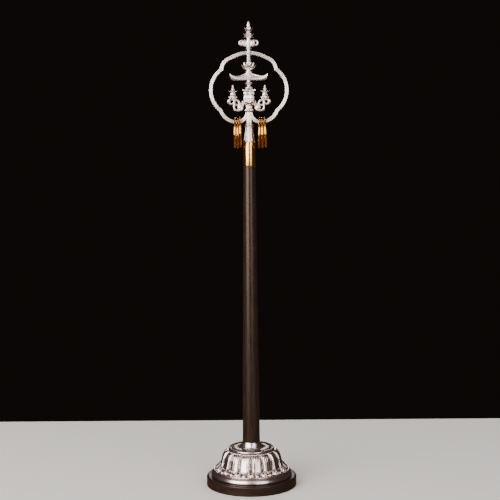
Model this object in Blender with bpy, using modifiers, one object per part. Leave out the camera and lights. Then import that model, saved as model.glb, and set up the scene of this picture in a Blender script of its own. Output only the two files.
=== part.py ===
# Buddhist ringed staff: a table-top altar staff on a lotus stand.
# A dark wooden disc carries a silvery lotus casting. A tapered dark shaft stands in it, and a brass
# ferrule joins the shaft to the openwork head, a cloud-shaped frame round a small pavilion under a
# winged roof, with six loose brass rings on the frame.
# Metres, +Z up, the front faces -Y. The origin is the centre of the underside.

import math

import bmesh
import bpy
from mathutils import Matrix, Vector

mm = 0.001

# Fits
gap = 0.3 * mm                      # left between two pieces that touch

# Wooden disc under everything
disc_radius = 45.6 * mm
disc_height = 10.0 * mm
disc_edge_radius = 1.6 * mm

# Lotus casting: heights count up from its underside
flange_radius = 40.9 * mm
flange_height = 5.0 * mm
flange_edge_radius = 2.4 * mm
groove_depth = 2.9 * mm
bead_height = 1.5 * mm
bead_lift = 0.4 * mm
bead_inset = 1.9 * mm
petal_count = 16
petal_turn = math.radians(-1.5)     # one parting line stands this far left of the front
petal_rise = 7.3 * mm               # petal tips above the underside
petal_height = 18.8 * mm            # tips to shoulder
petal_tip_radius = 36.9 * mm
petal_waist_radius = 29.4 * mm
petal_shoulder_radius = 24.6 * mm
petal_belly = 0.9 * mm
petal_parting_depth = 1.3 * mm
petal_root = 2.5 * mm               # how far the petal ring reaches down into the casting
rim_radius = 22.3 * mm
rim_bead = 1.25 * mm
dome_height = 3.4 * mm
step_width = 1.4 * mm
step_height = 0.9 * mm
collar_height = 4.8 * mm
collar_flare = 1.7 * mm             # how much wider the collar is at its foot
collar_wall = 0.6 * mm
socket_depth = 18.0 * mm

# Wooden shaft
shaft_foot_radius = 8.75 * mm
shaft_top_radius = 6.15 * mm
shaft_length = 277.9 * mm           # from the collar to the ferrule
tenon_length = 14.0 * mm

# Brass ferrule
ferrule_radius = 6.0 * mm
ferrule_length = 24.1 * mm
ferrule_wall = 0.5 * mm
ferrule_neck_radius = 4.2 * mm
ferrule_neck_height = 3.0 * mm

# Head column, from the petal skirt to the bud: heights of the stages, then radii
skirt_height = 14.3 * mm
skirt_petals = 10
skirt_tip_drop = 2.0 * mm
skirt_top_radius = 4.0 * mm
spigot_length = 9.0 * mm
head_collar_height = 2.9 * mm
head_collar_radius = 4.6 * mm
stem_height = 11.8 * mm
stem_radius = 2.9 * mm
vase_height = 6.9 * mm
vase_radius = 4.4 * mm
vase_neck_radius = 2.6 * mm
seat_height = 3.9 * mm
seat_radius = 7.5 * mm
pavilion_height = 9.8 * mm
pavilion_width = 10.9 * mm
pavilion_depth = 9.0 * mm
shoulder_height = 2.4 * mm
shoulder_half_width = 6.7 * mm
shoulder_half_depth = 5.6 * mm
tier_height = 2.2 * mm
tier_radius = 4.2 * mm
tier_neck_height = 2.3 * mm
tier_disc_height = 1.9 * mm
tier_disc_radius = 4.5 * mm
slim_radius = 2.15 * mm             # the slim necks between the stages
roof_neck_height = 2.0 * mm
roof_height = 6.8 * mm
roof_half_width = 18.5 * mm
roof_half_depth = 10.5 * mm
roof_tip_rise = 5.3 * mm
roof_eave_thickness = 0.9 * mm
roof_waist = 2.6 * mm               # how far the sides draw in between the corners
roof_top_radius = 3.0 * mm
shoulder_tip_rise = 0.9 * mm
shoulder_eave_thickness = 0.6 * mm
shoulder_waist = 0.8 * mm
shoulder_top_radius = 3.2 * mm
knob_height = 2.2 * mm
knob_radius = 3.6 * mm
knob_neck_height = 1.7 * mm
knob_neck_radius = 2.8 * mm
crown_height = 6.6 * mm
crown_radius = 6.8 * mm
spire_height = 8.0 * mm
spire_ring_count = 3
junction_height = 4.4 * mm
junction_radius = 2.8 * mm
neck_collar_height = 2.9 * mm
neck_collar_radius = 3.0 * mm
ear_height = 6.8 * mm
ear_reach = 10.2 * mm
ear_stroke = 1.0 * mm               # half the thickness of the ear's rim
ear_eye_radius = 0.95 * mm
ear_depth = 1.9 * mm
ear_neck_height = 2.0 * mm
leaf_tier_height = 4.3 * mm
leaf_tier_radius = 5.0 * mm
bulb_height = 2.0 * mm
upper_leaf_height = 2.9 * mm
upper_leaf_radius = 4.1 * mm
bud_height = 7.2 * mm
bud_radius = 2.1 * mm

# Cloud-shaped frame round the pavilion, measured on the middle of its bar
bar_width = 3.8 * mm
bar_depth = 4.0 * mm
bar_groove = 0.75 * mm
upper_shoulder_reach = 18.3 * mm
upper_shoulder_drop = 5.2 * mm
upper_cusp_reach = 26.8 * mm
upper_cusp_drop = 16.1 * mm
upper_lobe_bulge = 2.1 * mm
side_lobe_bulge = 10.1 * mm
lower_cusp_reach = 28.0 * mm
lower_cusp_rise = 2.3 * mm
lower_lobe_reach = 11.7 * mm        # the lowest place of the bar, where it is level
lower_lobe_drop = 9.2 * mm          # from the bar's foot down to there

# Little side pagodas on scroll arms. Places on an arm are (outward from the pagoda's axis, up from
# the seat's foot).
side_pagoda_reach = 15.8 * mm
side_pagoda_rise = 5.6 * mm
side_pagoda_height = 14.4 * mm
side_pagoda_radius = 3.4 * mm
side_eave_radius = 4.2 * mm
scroll_stroke = 1.1 * mm            # half the thickness of a scroll
scroll_depth = 1.4 * mm             # half its depth, front to back
outer_eye = (1.6 * mm, 3.7 * mm)
outer_curl_radius = 2.5 * mm
inner_eye = (-3.5 * mm, 2.4 * mm)
inner_curl_radius = 2.5 * mm
lower_eye = (-3.9 * mm, -2.0 * mm)
lower_curl_radius = 3.0 * mm
outer_knuckle = (4.3 * mm, 3.8 * mm)
outer_knuckle_width = 1.8 * mm
outer_knuckle_height = 2.5 * mm
lower_knuckle = (-6.8 * mm, -2.5 * mm)
lower_knuckle_size = 2.3 * mm

# Loose brass rings, three on each side
ring_radius = 15.0 * mm
ring_thickness = 1.5 * mm
ring_width = 2.1 * mm
ring_pitch = 2.5 * mm
rings_per_side = 3
ring_places = {                     # reach of the middle ring, lean of the middle ring, splay
    "left": (-11.4 * mm, math.radians(0.2), math.radians(0.8)),
    "right": (12.8 * mm, math.radians(0.7), math.radians(1.9)),
}

# Levels worked out from the heights above
casting_foot = disc_height + gap
petal_foot_level = casting_foot + petal_rise
petal_top_level = petal_foot_level + petal_height
rim_level = petal_top_level + rim_bead
dome_top_level = rim_level + dome_height - rim_bead
collar_top_level = dome_top_level + collar_height
socket_floor_level = collar_top_level - socket_depth
shaft_shoulder_level = collar_top_level + shaft_length
ferrule_foot_level = shaft_shoulder_level + gap
ferrule_top_level = ferrule_foot_level + ferrule_length
head_foot_level = ferrule_top_level + gap
neck_top_level = ferrule_top_level + ferrule_neck_height
skirt_hollow_level = neck_top_level + gap

stage_heights = (
    ("skirt", skirt_height), ("collar", head_collar_height), ("stem", stem_height),
    ("vase", vase_height), ("seat", seat_height), ("pavilion", pavilion_height),
    ("shoulder", shoulder_height), ("tier", tier_height), ("tier_neck", tier_neck_height),
    ("tier_disc", tier_disc_height), ("roof_neck", roof_neck_height), ("roof", roof_height),
    ("knob", knob_height), ("knob_neck", knob_neck_height), ("crown", crown_height),
    ("spire", spire_height), ("junction", junction_height), ("neck_collar", neck_collar_height),
    ("ears", ear_height), ("ear_neck", ear_neck_height), ("leaf_tier", leaf_tier_height),
    ("bulb", bulb_height), ("upper_leaf", upper_leaf_height), ("bud", bud_height),
)
stage_foot = {}
stage_top = {}
level = head_foot_level
for stage, height in stage_heights:
    stage_foot[stage] = level
    level += height
    stage_top[stage] = level

turned_steps = 32                   # sides of the large turned pieces
shaft_steps = 16
ring_steps = 20
column_steps = 8                    # sides of the slender column
pagoda_steps = 6


# Scene and collections

for old in list(bpy.data.objects):
    bpy.data.objects.remove(old, do_unlink=True)

parts = bpy.data.collections.new("buddhist_ringed_staff")
workings = bpy.data.collections.new("workings")
bpy.context.scene.collection.children.link(parts)
bpy.context.scene.collection.children.link(workings)


def make_material(name, colour, roughness, metallic):
    material = bpy.data.materials.new(name)
    material.use_nodes = True
    shader = material.node_tree.nodes["Principled BSDF"]
    shader.inputs["Base Color"].default_value = (*colour, 1.0)
    shader.inputs["Roughness"].default_value = roughness
    shader.inputs["Metallic"].default_value = metallic
    return material


# Mesh helpers

def add_object(name, mesh, collection):
    piece = bpy.data.objects.new(name, mesh)
    collection.objects.link(piece)
    return piece


def baked(piece):
    """The piece as a plain mesh object, with its modifiers applied and its place in the mesh."""
    bpy.context.view_layer.update()
    graph = bpy.context.evaluated_depsgraph_get()
    mesh = bpy.data.meshes.new_from_object(piece.evaluated_get(graph))
    mesh.transform(piece.matrix_world)
    name = piece.name
    bpy.data.objects.remove(piece, do_unlink=True)
    return add_object(name, mesh, workings)


def turned(name, profile, steps, closed=False, collection=workings):
    """A turned solid. The profile is (radius, height), down the outer side from top to bottom."""
    mesh = bpy.data.meshes.new(name)
    count = len(profile)
    edges = [(k, k + 1) for k in range(count - 1)]
    if closed:
        edges.append((count - 1, 0))
    mesh.from_pydata([(radius, 0.0, height) for radius, height in profile], edges, [])
    piece = add_object(name, mesh, collection)
    screw = piece.modifiers.new("turn", "SCREW")
    screw.steps = steps
    screw.render_steps = steps
    screw.use_merge_vertices = True
    screw.merge_threshold = 0.000001
    screw.use_smooth_shade = True
    return piece


def lofted(name, rows, hollow=False):
    """A solid skinned over rows of points. A row of one point is a tip, and other end rows are
    capped, or joined to each other where the solid is a hollow ring."""
    mesh = bpy.data.meshes.new(name)
    skin = bmesh.new()
    rings = [[skin.verts.new(point) for point in row] for row in rows]
    uppers = rings[1:] + rings[:1] if hollow else rings[1:]
    for low, high in zip(rings, uppers):
        count = max(len(low), len(high))
        for k in range(count):
            following = (k + 1) % count
            corners = [low[k % len(low)], low[following % len(low)],
                       high[following % len(high)], high[k % len(high)]]
            distinct = list(dict.fromkeys(corners))
            if len(distinct) > 2:
                skin.faces.new(distinct)
    if not hollow:
        for ring in (rings[0], rings[-1]):
            if len(ring) > 2:
                skin.faces.new(ring)
    bmesh.ops.recalc_face_normals(skin, faces=skin.faces)
    skin.to_mesh(mesh)
    skin.free()
    return add_object(name, mesh, workings)


def joined(name, pieces):
    """One casting: the union of all the pieces."""
    operands = bpy.data.collections.new(name + "_operands")
    workings.children.link(operands)
    body = pieces[0]
    for piece in pieces[1:]:
        piece.hide_render = True
        piece.display_type = "WIRE"
        workings.objects.unlink(piece)
        operands.objects.link(piece)
    union = body.modifiers.new("join", "BOOLEAN")
    union.operation = "UNION"
    union.operand_type = "COLLECTION"
    union.collection = operands
    union.solver = "EXACT"
    bpy.context.view_layer.update()
    graph = bpy.context.evaluated_depsgraph_get()
    mesh = bpy.data.meshes.new_from_object(body.evaluated_get(graph))
    for piece in pieces:
        bpy.data.objects.remove(piece, do_unlink=True)
    bpy.data.collections.remove(operands)
    mesh.name = name
    return add_object(name, mesh, parts)


def finish(piece, material, sharp_angle=35.0):
    piece.data.materials.clear()
    piece.data.materials.append(material)
    piece.data.shade_smooth()
    piece.data.set_sharp_from_angle(angle=math.radians(sharp_angle))
    return piece


def arc(centre_x, centre_z, radius, start, end, steps):
    """Points (x, z) on an arc, angles in degrees."""
    points = []
    for k in range(steps + 1):
        angle = math.radians(start + (end - start) * k / steps)
        points.append((centre_x + radius * math.cos(angle), centre_z + radius * math.sin(angle)))
    return points


def bulged_arc(start, end, bulge, steps):
    """Points on the arc from start to end that bulges to the right of that direction."""
    start, end = Vector(start), Vector(end)
    chord = end - start
    half = chord.length / 2
    radius = (half * half + bulge * bulge) / (2 * bulge)
    outward = Vector((chord.y, -chord.x)).normalized()
    centre = (start + end) / 2 + outward * (bulge - radius)
    first = math.atan2(start.y - centre.y, start.x - centre.x)
    sweep = 2 * math.asin(min(1.0, half / radius))
    if bulge > radius:
        sweep = 2 * math.pi - sweep
    points = []
    for k in range(steps + 1):
        angle = first + sweep * k / steps
        points.append((centre.x + radius * math.cos(angle), centre.y + radius * math.sin(angle)))
    return points


def level_arc(lowest, end, steps):
    """Points on the arc that is level at its lowest place and rises to the end."""
    across, up = end[0] - lowest[0], end[1] - lowest[1]
    radius = (across * across + up * up) / (2 * up)
    turn = math.atan2(up - radius, across) + math.pi / 2
    points = []
    for k in range(steps + 1):
        angle = turn * k / steps - math.pi / 2
        points.append((lowest[0] + radius * math.cos(angle),
                       lowest[1] + radius * (1 + math.sin(angle))))
    return points


# Stand

def build_disc(material):
    edge = disc_edge_radius
    profile = [(0.0, disc_height)]
    profile += arc(disc_radius - edge, disc_height - edge, edge, 90, 0, 2)
    profile += arc(disc_radius - edge / 2, edge / 2, edge / 2, 0, -90, 1)
    profile.append((0.0, 0.0))
    disc = turned("base_disc", profile, turned_steps, collection=parts)
    disc.data.materials.append(material)


def petal_radius(rise):
    """Radius of the petals' ground from the tips (0) to the shoulder (1)."""
    waist_rise = 0.34
    if rise < waist_rise:
        flare = 1 - rise / waist_rise
        return petal_waist_radius + (petal_tip_radius - petal_waist_radius) * flare ** 1.6
    shoulder = (rise - waist_rise) / (1 - waist_rise)
    return petal_waist_radius - (petal_waist_radius - petal_shoulder_radius) * shoulder ** 2.6


def petal_share(rise):
    """Half the petal's width at this height, as a share of its pitch."""
    full, tip, narrowing = 0.86, 0.10, 0.36
    if rise > narrowing:
        return full
    return tip + (full - tip) * math.sin(math.pi / 2 * rise / narrowing) ** 0.8


def pulled_in(row, radius, height):
    """The same row drawn in to a circle, which lies inside the core."""
    return [(x * radius / math.hypot(x, y), y * radius / math.hypot(x, y), height)
            for x, y, _ in row]


def build_lotus(material):
    rises = (0.0, 0.1, 0.22, 0.4, 0.7, 1.0)
    pitch = 2 * math.pi / petal_count
    bank = 0.06                     # half the width of the slope down to a parting
    edge = 0.25 * petal_belly
    rows = []
    for rise in rises:
        share = petal_share(rise)
        fall = 1 - rise
        columns = (
            (0.0, -petal_parting_depth * (0.35 + 0.65 * rise)),
            (1 - share - bank, -petal_parting_depth),
            (1 - share + bank, edge),
            (1.0, petal_belly),
            (1 + share - bank, edge),
            (1 + share + bank, -petal_parting_depth),
        )
        row = []
        for k in range(petal_count):
            for place, relief in columns:
                angle = petal_turn - math.pi / 2 + pitch * (k + place / 2)
                radius = petal_radius(rise) + relief * (0.75 + 0.25 * fall)
                height = petal_foot_level + petal_height * rise
                row.append((radius * math.cos(angle), radius * math.sin(angle), height))
        rows.append(row)
    root_radius = rim_radius - 2.5 * rim_bead
    rows.append(pulled_in(rows[-1], root_radius, petal_top_level - petal_root))
    rows.insert(0, pulled_in(rows[0], petal_waist_radius, petal_foot_level - petal_root))
    rows.insert(0, pulled_in(rows[0], root_radius, petal_foot_level - petal_root))
    petals = lofted("petals", rows, hollow=True)

    bore = shaft_foot_radius + gap
    collar_top = bore + collar_wall
    collar_foot = collar_top + collar_flare
    step = collar_foot + step_width
    dome_foot = rim_radius - rim_bead
    groove_radius = flange_radius - groove_depth
    bead_radius = flange_radius - bead_inset
    flange_top = casting_foot + flange_height
    bead_top = flange_top + bead_lift + bead_height
    profile = [(0.0, socket_floor_level), (bore, socket_floor_level), (bore, collar_top_level),
               (collar_top, collar_top_level), (collar_foot, dome_top_level),
               (step, dome_top_level), (step, dome_top_level - step_height),
               ((step + dome_foot) / 2, dome_top_level - step_height - 0.4 * dome_height)]
    profile += arc(rim_radius, rim_level, rim_bead, 150, -45, 3)
    profile += [(rim_radius, petal_foot_level + petal_root), (groove_radius, bead_top)]
    profile += arc(bead_radius - bead_height / 2, bead_top - bead_height / 2, bead_height / 2,
                   60, -60, 2)
    profile.append((groove_radius, flange_top))
    profile += arc(flange_radius - flange_edge_radius, flange_top - flange_edge_radius,
                   flange_edge_radius, 75, 0, 2)
    profile += [(flange_radius, casting_foot), (0.0, casting_foot)]
    core = baked(turned("core", profile, turned_steps))
    lotus = joined("lotus_base", [core, petals])
    finish(lotus, material)


# Shaft and ferrule

def build_shaft(material):
    tenon = ferrule_radius - ferrule_wall - gap
    foot = socket_floor_level + gap
    tenon_top = shaft_shoulder_level + tenon_length
    profile = [(0.0, tenon_top), (tenon, tenon_top), (tenon, shaft_shoulder_level),
               (shaft_top_radius, shaft_shoulder_level), (shaft_foot_radius, collar_top_level),
               (shaft_foot_radius, foot), (0.0, foot)]
    shaft = turned("shaft", profile, shaft_steps, collection=parts)
    shaft.data.materials.append(material)


def build_ferrule(material):
    bore = ferrule_radius - ferrule_wall
    neck_bore = ferrule_neck_radius - ferrule_wall
    shoulder_floor = ferrule_top_level - ferrule_wall * 2
    profile = [(neck_bore, neck_top_level), (ferrule_neck_radius, neck_top_level),
               (ferrule_neck_radius, ferrule_top_level), (ferrule_radius, ferrule_top_level),
               (ferrule_radius, ferrule_foot_level), (bore, ferrule_foot_level),
               (bore, shoulder_floor), (neck_bore, shoulder_floor)]
    ferrule = turned("ferrule", profile, shaft_steps, closed=True, collection=parts)
    ferrule.data.materials.append(material)


# Head

def column_profile():
    """Turned profile of the head's middle, (radius, height), from the bottom up."""
    spigot = ferrule_neck_radius - ferrule_wall - gap
    profile = [(0.0, head_foot_level - spigot_length), (spigot, head_foot_level - spigot_length),
               (spigot, skirt_hollow_level + 1.0 * mm),
               (skirt_top_radius - 0.8 * mm, stage_top["skirt"] - 1.0 * mm)]

    def stage(name, *places):
        foot, height = stage_foot[name], stage_top[name] - stage_foot[name]
        for radius, share in places:
            profile.append((radius, foot + height * share))

    stage("collar", (head_collar_radius, 0.02), (head_collar_radius, 0.42),
          (head_collar_radius - 0.8 * mm, 0.52), (head_collar_radius - 0.4 * mm, 0.98))
    stage("stem", (stem_radius, 0.05), (stem_radius - 0.4 * mm, 0.98))
    stage("vase", (vase_radius, 0.14), (vase_radius, 0.3), (vase_neck_radius, 0.82))
    stage("seat", (vase_neck_radius + 0.4 * mm, 0.02), (seat_radius - 1.6 * mm, 0.3),
          (seat_radius - 1.6 * mm, 0.85), (slim_radius, 1.1))
    stage("pavilion", (slim_radius, 0.5))
    stage("shoulder", (slim_radius, 0.9))
    stage("tier", (tier_radius - 0.8 * mm, 0.05), (tier_radius, 0.3), (tier_radius, 0.85),
          (slim_radius, 1.0))
    stage("tier_disc", (slim_radius, 0.05), (tier_disc_radius, 0.25), (tier_disc_radius, 0.75),
          (slim_radius, 0.95))
    stage("knob", (slim_radius, 0.02), (knob_radius, 0.25), (knob_radius, 0.8))
    stage("knob_neck", (knob_neck_radius, 0.1), (knob_neck_radius, 0.9))
    stage("spire", (slim_radius, 0.02))
    for k in range(spire_ring_count):
        middle = 0.1 + 0.75 * (k + 0.5) / spire_ring_count
        stage("spire", (slim_radius - 0.15 * mm, middle - 0.12), (slim_radius + 0.35 * mm, middle))
    stage("junction", (slim_radius, 0.0), (junction_radius, 0.35), (slim_radius, 0.95))
    stage("neck_collar", (neck_collar_radius, 0.25), (neck_collar_radius, 0.8))
    stage("ears", (slim_radius, 0.05), (slim_radius, 0.95))
    stage("leaf_tier", (slim_radius, 0.5))
    stage("bulb", (slim_radius - 0.3 * mm, 0.02), (slim_radius + 0.2 * mm, 0.5),
          (slim_radius - 0.5 * mm, 0.98))
    stage("bud", (bud_radius - 0.3 * mm, 0.0), (bud_radius, 0.1), (bud_radius - 0.2 * mm, 0.4),
          (bud_radius - 0.8 * mm, 0.75), (bud_radius - 1.4 * mm, 0.95), (0.0, 1.0))
    return profile


def ring_of(radii_and_heights, turn=0.0):
    """A row of points round the column, one for each (radius, height)."""
    count = len(radii_and_heights)
    row = []
    for k, (radius, height) in enumerate(radii_and_heights):
        angle = turn + 2 * math.pi * k / count
        row.append((radius * math.cos(angle), radius * math.sin(angle), height))
    return row


def flower(name, foot, bowl, tips, valley, count=8, middle=0.0):
    """Leaves that open from a foot. Each place is (radius, height), and tips take turns."""
    rim = []
    for k in range(count):
        rim += [tips[k % len(tips)], valley]
    rows = [[(0.0, 0.0, foot[1])], ring_of([foot] * count * 2), ring_of([bowl] * count * 2),
            ring_of(rim), [(0.0, 0.0, (bowl[1] + valley[1]) / 2)]]
    moved = [[(x + middle, y, z) for x, y, z in row] for row in rows]
    return lofted(name, moved)


def build_skirt():
    """Petal skirt with a hollow that the ferrule's neck stands in."""
    foot, top = head_foot_level, stage_top["skirt"] + 0.5 * mm
    hollow = ferrule_neck_radius + gap
    places = ((skirt_top_radius, top), (skirt_top_radius + 1.0 * mm, foot + 0.6 * skirt_height),
              (ferrule_radius - 0.35 * mm, foot + 0.22 * skirt_height))
    rows = [[(0.0, 0.0, top)]]
    for radius, height in places:
        flute = []
        for k in range(skirt_petals):
            flute += [(radius, height), (radius - 0.5 * mm, height)]
        rows.append(ring_of(flute))
    rim = [(ferrule_radius, foot), (ferrule_radius - 0.4 * mm, foot + skirt_tip_drop)]
    rim = rim * skirt_petals
    inner_rim = [(hollow, height) for radius, height in rim]
    rows += [ring_of(rim), ring_of(inner_rim), ring_of([(hollow, skirt_hollow_level)] * len(rim)),
             [(0.0, 0.0, skirt_hollow_level)]]
    return lofted("skirt", rows)


def build_roof(name, half_width, half_depth, foot, top, tip_rise, thickness, waist, top_radius,
               long_side, short_side):
    """A winged roof: concave slopes, sides drawn in, corners swept up, flat underneath."""
    outline = [(share, -1.0) for share in long_side] + [(-1.0, -share) for share in short_side]
    outline += [(-share, 1.0) for share in long_side] + [(1.0, share) for share in short_side]
    height = top - foot

    def row(reach, lift, base):
        """A closed row at this share of the eaves' reach. lift is the share of the corners' rise."""
        points = []
        for across, along in outline:
            on_long = abs(along) == 1.0
            share = abs(across) if on_long else abs(along)
            rise = tip_rise * (0.3 * share ** 2 + 0.7 * share ** 7) * lift
            draw = waist * (1 - share ** 2) * reach
            x = across * half_width * reach
            y = along * half_depth * reach
            if on_long:
                y -= math.copysign(draw * 0.5, y)
            else:
                x -= math.copysign(draw, x)
            points.append((x, y, base + rise))
        return points

    neck = top_radius / half_width
    rows = [row(neck, 0.0, top), row(0.34, 0.05, foot + 0.6 * height),
            row(0.62, 0.25, foot + 0.32 * height), row(1.0, 1.0, foot + thickness),
            row(1.0, 1.0, foot), row(0.84, 0.0, foot)]
    return lofted(name, rows)


def lower_lobe():
    """The middle line of the left lower lobe, from its cusp to its foot on the stem."""
    foot = (-stem_radius + 1.2 * mm, stage_top["stem"] - 0.5 * mm)
    cusp = (-lower_cusp_reach, foot[1] + lower_cusp_rise)
    lowest = (-lower_lobe_reach, foot[1] - lower_lobe_drop)
    return level_arc(lowest, cusp, 3)[::-1] + level_arc(lowest, foot, 4)[1:]


def bar_path():
    """The middle line of the frame's left half, crown to foot."""
    lower = lower_lobe()
    crown = (-slim_radius + 0.6 * mm, stage_foot["junction"] + 1.5 * mm)
    lower_cusp = lower[0]
    upper_cusp = (-upper_cusp_reach, crown[1] - upper_cusp_drop)
    shoulder = (-upper_shoulder_reach, crown[1] - upper_shoulder_drop)
    side = bulged_arc(upper_cusp, lower_cusp, side_lobe_bulge, 7)
    upper = bulged_arc(shoulder, upper_cusp, upper_lobe_bulge, 3)
    return [crown] + upper + side[1:] + lower[1:]


def swept(name, path, section):
    """A solid swept along (x, z) points in the frame's plane. The section is (across, depth)."""
    rows = []
    for k, place in enumerate(path):
        here = Vector(place)
        coming = (here - Vector(path[k - 1])).normalized() if k else None
        going = (Vector(path[k + 1]) - here).normalized() if k < len(path) - 1 else coming
        coming = coming or going
        along = (coming + going).normalized()
        across_direction = Vector((along.y, -along.x)) / max(0.5, along.dot(coming))
        row = []
        for across, depth in section:
            spot = here + across_direction * across
            row.append((spot.x, depth, spot.y))
        rows.append(row)
    return lofted(name, rows)


def build_bar(name, side):
    """Half of the frame: a grooved bar along the lobes, mitred at the two cusps."""
    half_width, half_depth = bar_width / 2, bar_depth / 2
    ridge, groove = 0.58 * half_width, half_depth - bar_groove
    section = [(half_width, 0.0), (ridge, half_depth), (0.0, groove), (-ridge, half_depth),
               (-half_width, 0.0), (-ridge, -half_depth), (0.0, -groove), (ridge, -half_depth)]
    return swept(name, [(side * x, z) for x, z in bar_path()], section)


def scroll(name, side, path, stroke, depth):
    """A rounded stroke of a scroll, on the left or the right."""
    section = [(stroke, 0.0), (0.5 * stroke, depth), (-0.5 * stroke, depth), (-stroke, 0.0),
               (-0.5 * stroke, -depth), (0.5 * stroke, -depth)]
    return swept(name, [(side * x, z) for x, z in path], section)


def ball(name, x, z, width, depth, height):
    mesh = bpy.data.meshes.new(name)
    shape = bmesh.new()
    bmesh.ops.create_uvsphere(shape, u_segments=7, v_segments=4, radius=1.0)
    bmesh.ops.scale(shape, vec=(width, depth, height), verts=shape.verts)
    bmesh.ops.translate(shape, vec=(x, 0.0, z), verts=shape.verts)
    shape.to_mesh(mesh)
    shape.free()
    return add_object(name, mesh, workings)


def build_ears():
    """Two curled ears, each a rim round a lobe that is pierced near its outer end."""
    middle = stage_foot["ears"] + 0.55 * ear_height
    curl = ear_eye_radius + ear_stroke
    eye_x = ear_reach - ear_stroke - curl
    low_root = (0.4 * slim_radius, stage_foot["ears"] + 0.15 * ear_height)
    path = [(0.4 * slim_radius, middle + curl)] + arc(eye_x, middle, curl, 90, -120, 5) + [low_root]
    lobe_width = (eye_x - ear_eye_radius) / 2
    pieces = []
    for side in (-1, 1):
        pieces.append(scroll("ear", side, path, ear_stroke, ear_depth - 0.3 * mm))
        pieces.append(ball("ear_lobe", side * lobe_width, middle - 0.2 * curl, 1.35 * lobe_width,
                           ear_depth, 0.47 * ear_height))
    return pieces


def build_side_work():
    """On each side a scroll arm from the seat, with a little pagoda standing on it."""
    seat_z = stage_foot["seat"]

    def place(offset):
        return side_pagoda_reach + offset[0], seat_z + offset[1]

    outer, inner, lower = place(outer_eye), place(inner_eye), place(lower_eye)
    knuckle, knot = place(outer_knuckle), place(lower_knuckle)
    root = seat_radius - 2.5 * mm
    upper = [(root, seat_z + 0.25 * seat_height)]
    upper += arc(*inner, inner_curl_radius, 190, 75, 3)
    upper += arc(*outer, outer_curl_radius, 110, -140, 6)
    post = side_pagoda_reach - scroll_stroke
    under = [(post, outer[1] + outer_curl_radius), (post, inner[1] - 0.5 * inner_curl_radius)]
    under += arc(*lower, lower_curl_radius, 0, -95, 3)
    under += arc(*knot, lower_knuckle_size, -100, -215, 3)
    under.append((inner[0] - inner_curl_radius, seat_z + 0.25 * seat_height))
    pieces = []
    for side in (-1, 1):
        pieces.append(scroll("upper_scroll", side, upper, scroll_stroke, scroll_depth))
        pieces.append(scroll("under_scroll", side, under, scroll_stroke, 0.9 * scroll_depth))
        pieces.append(ball("outer_knuckle", side * knuckle[0], knuckle[1], outer_knuckle_width,
                           1.3 * scroll_depth, outer_knuckle_height))
        pieces.append(ball("lower_knuckle", side * knot[0], knot[1] + 0.2 * lower_knuckle_size,
                           1.1 * lower_knuckle_size, 1.2 * scroll_depth, 1.4 * lower_knuckle_size))
        pieces += build_side_pagoda(side * side_pagoda_reach, seat_z + side_pagoda_rise)
    return pieces


def build_side_pagoda(x, foot):
    height, radius = side_pagoda_height, side_pagoda_radius
    shape = ((0.0, 1.0), (0.3, 0.96), (0.42, 0.83), (0.36, 0.74), (0.58, 0.67), (0.4, 0.57),
             (0.74, 0.5), (0.78, 0.3), (1.0, 0.18), (0.9, 0.0), (0.0, 0.0))
    profile = [(radius * across, foot + height * up) for across, up in shape]
    pagoda = turned("side_pagoda", profile, pagoda_steps)
    pagoda.location.x = x
    pagoda = baked(pagoda)
    eave_z = foot + 0.5 * height
    eave = flower("side_eave", (radius * 0.3, eave_z), (radius * 0.8, eave_z + 0.1 * mm),
                  [(side_eave_radius, eave_z + 1.0 * mm)], (radius * 0.85, eave_z + 0.5 * mm),
                  count=4, middle=x)
    return [pagoda, eave]


def build_pavilion():
    """Pavilion body between the seat and the shoulder, with rounded corners."""
    foot = stage_foot["pavilion"] - 1.0 * mm
    top = stage_top["pavilion"] + 0.4 * mm
    mesh = bpy.data.meshes.new("pavilion")
    box = bmesh.new()
    bmesh.ops.create_cube(box, size=1.0)
    bmesh.ops.scale(box, vec=(pavilion_width, pavilion_depth, top - foot), verts=box.verts)
    bmesh.ops.translate(box, vec=(0.0, 0.0, (top + foot) / 2), verts=box.verts)
    upright = [edge for edge in box.edges
               if abs(edge.verts[0].co.z - edge.verts[1].co.z) > (top - foot) / 2]
    bmesh.ops.bevel(box, geom=upright, offset=1.6 * mm, segments=2, profile=0.5, affect="EDGES")
    box.to_mesh(mesh)
    box.free()
    return add_object("pavilion", mesh, workings)


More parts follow.
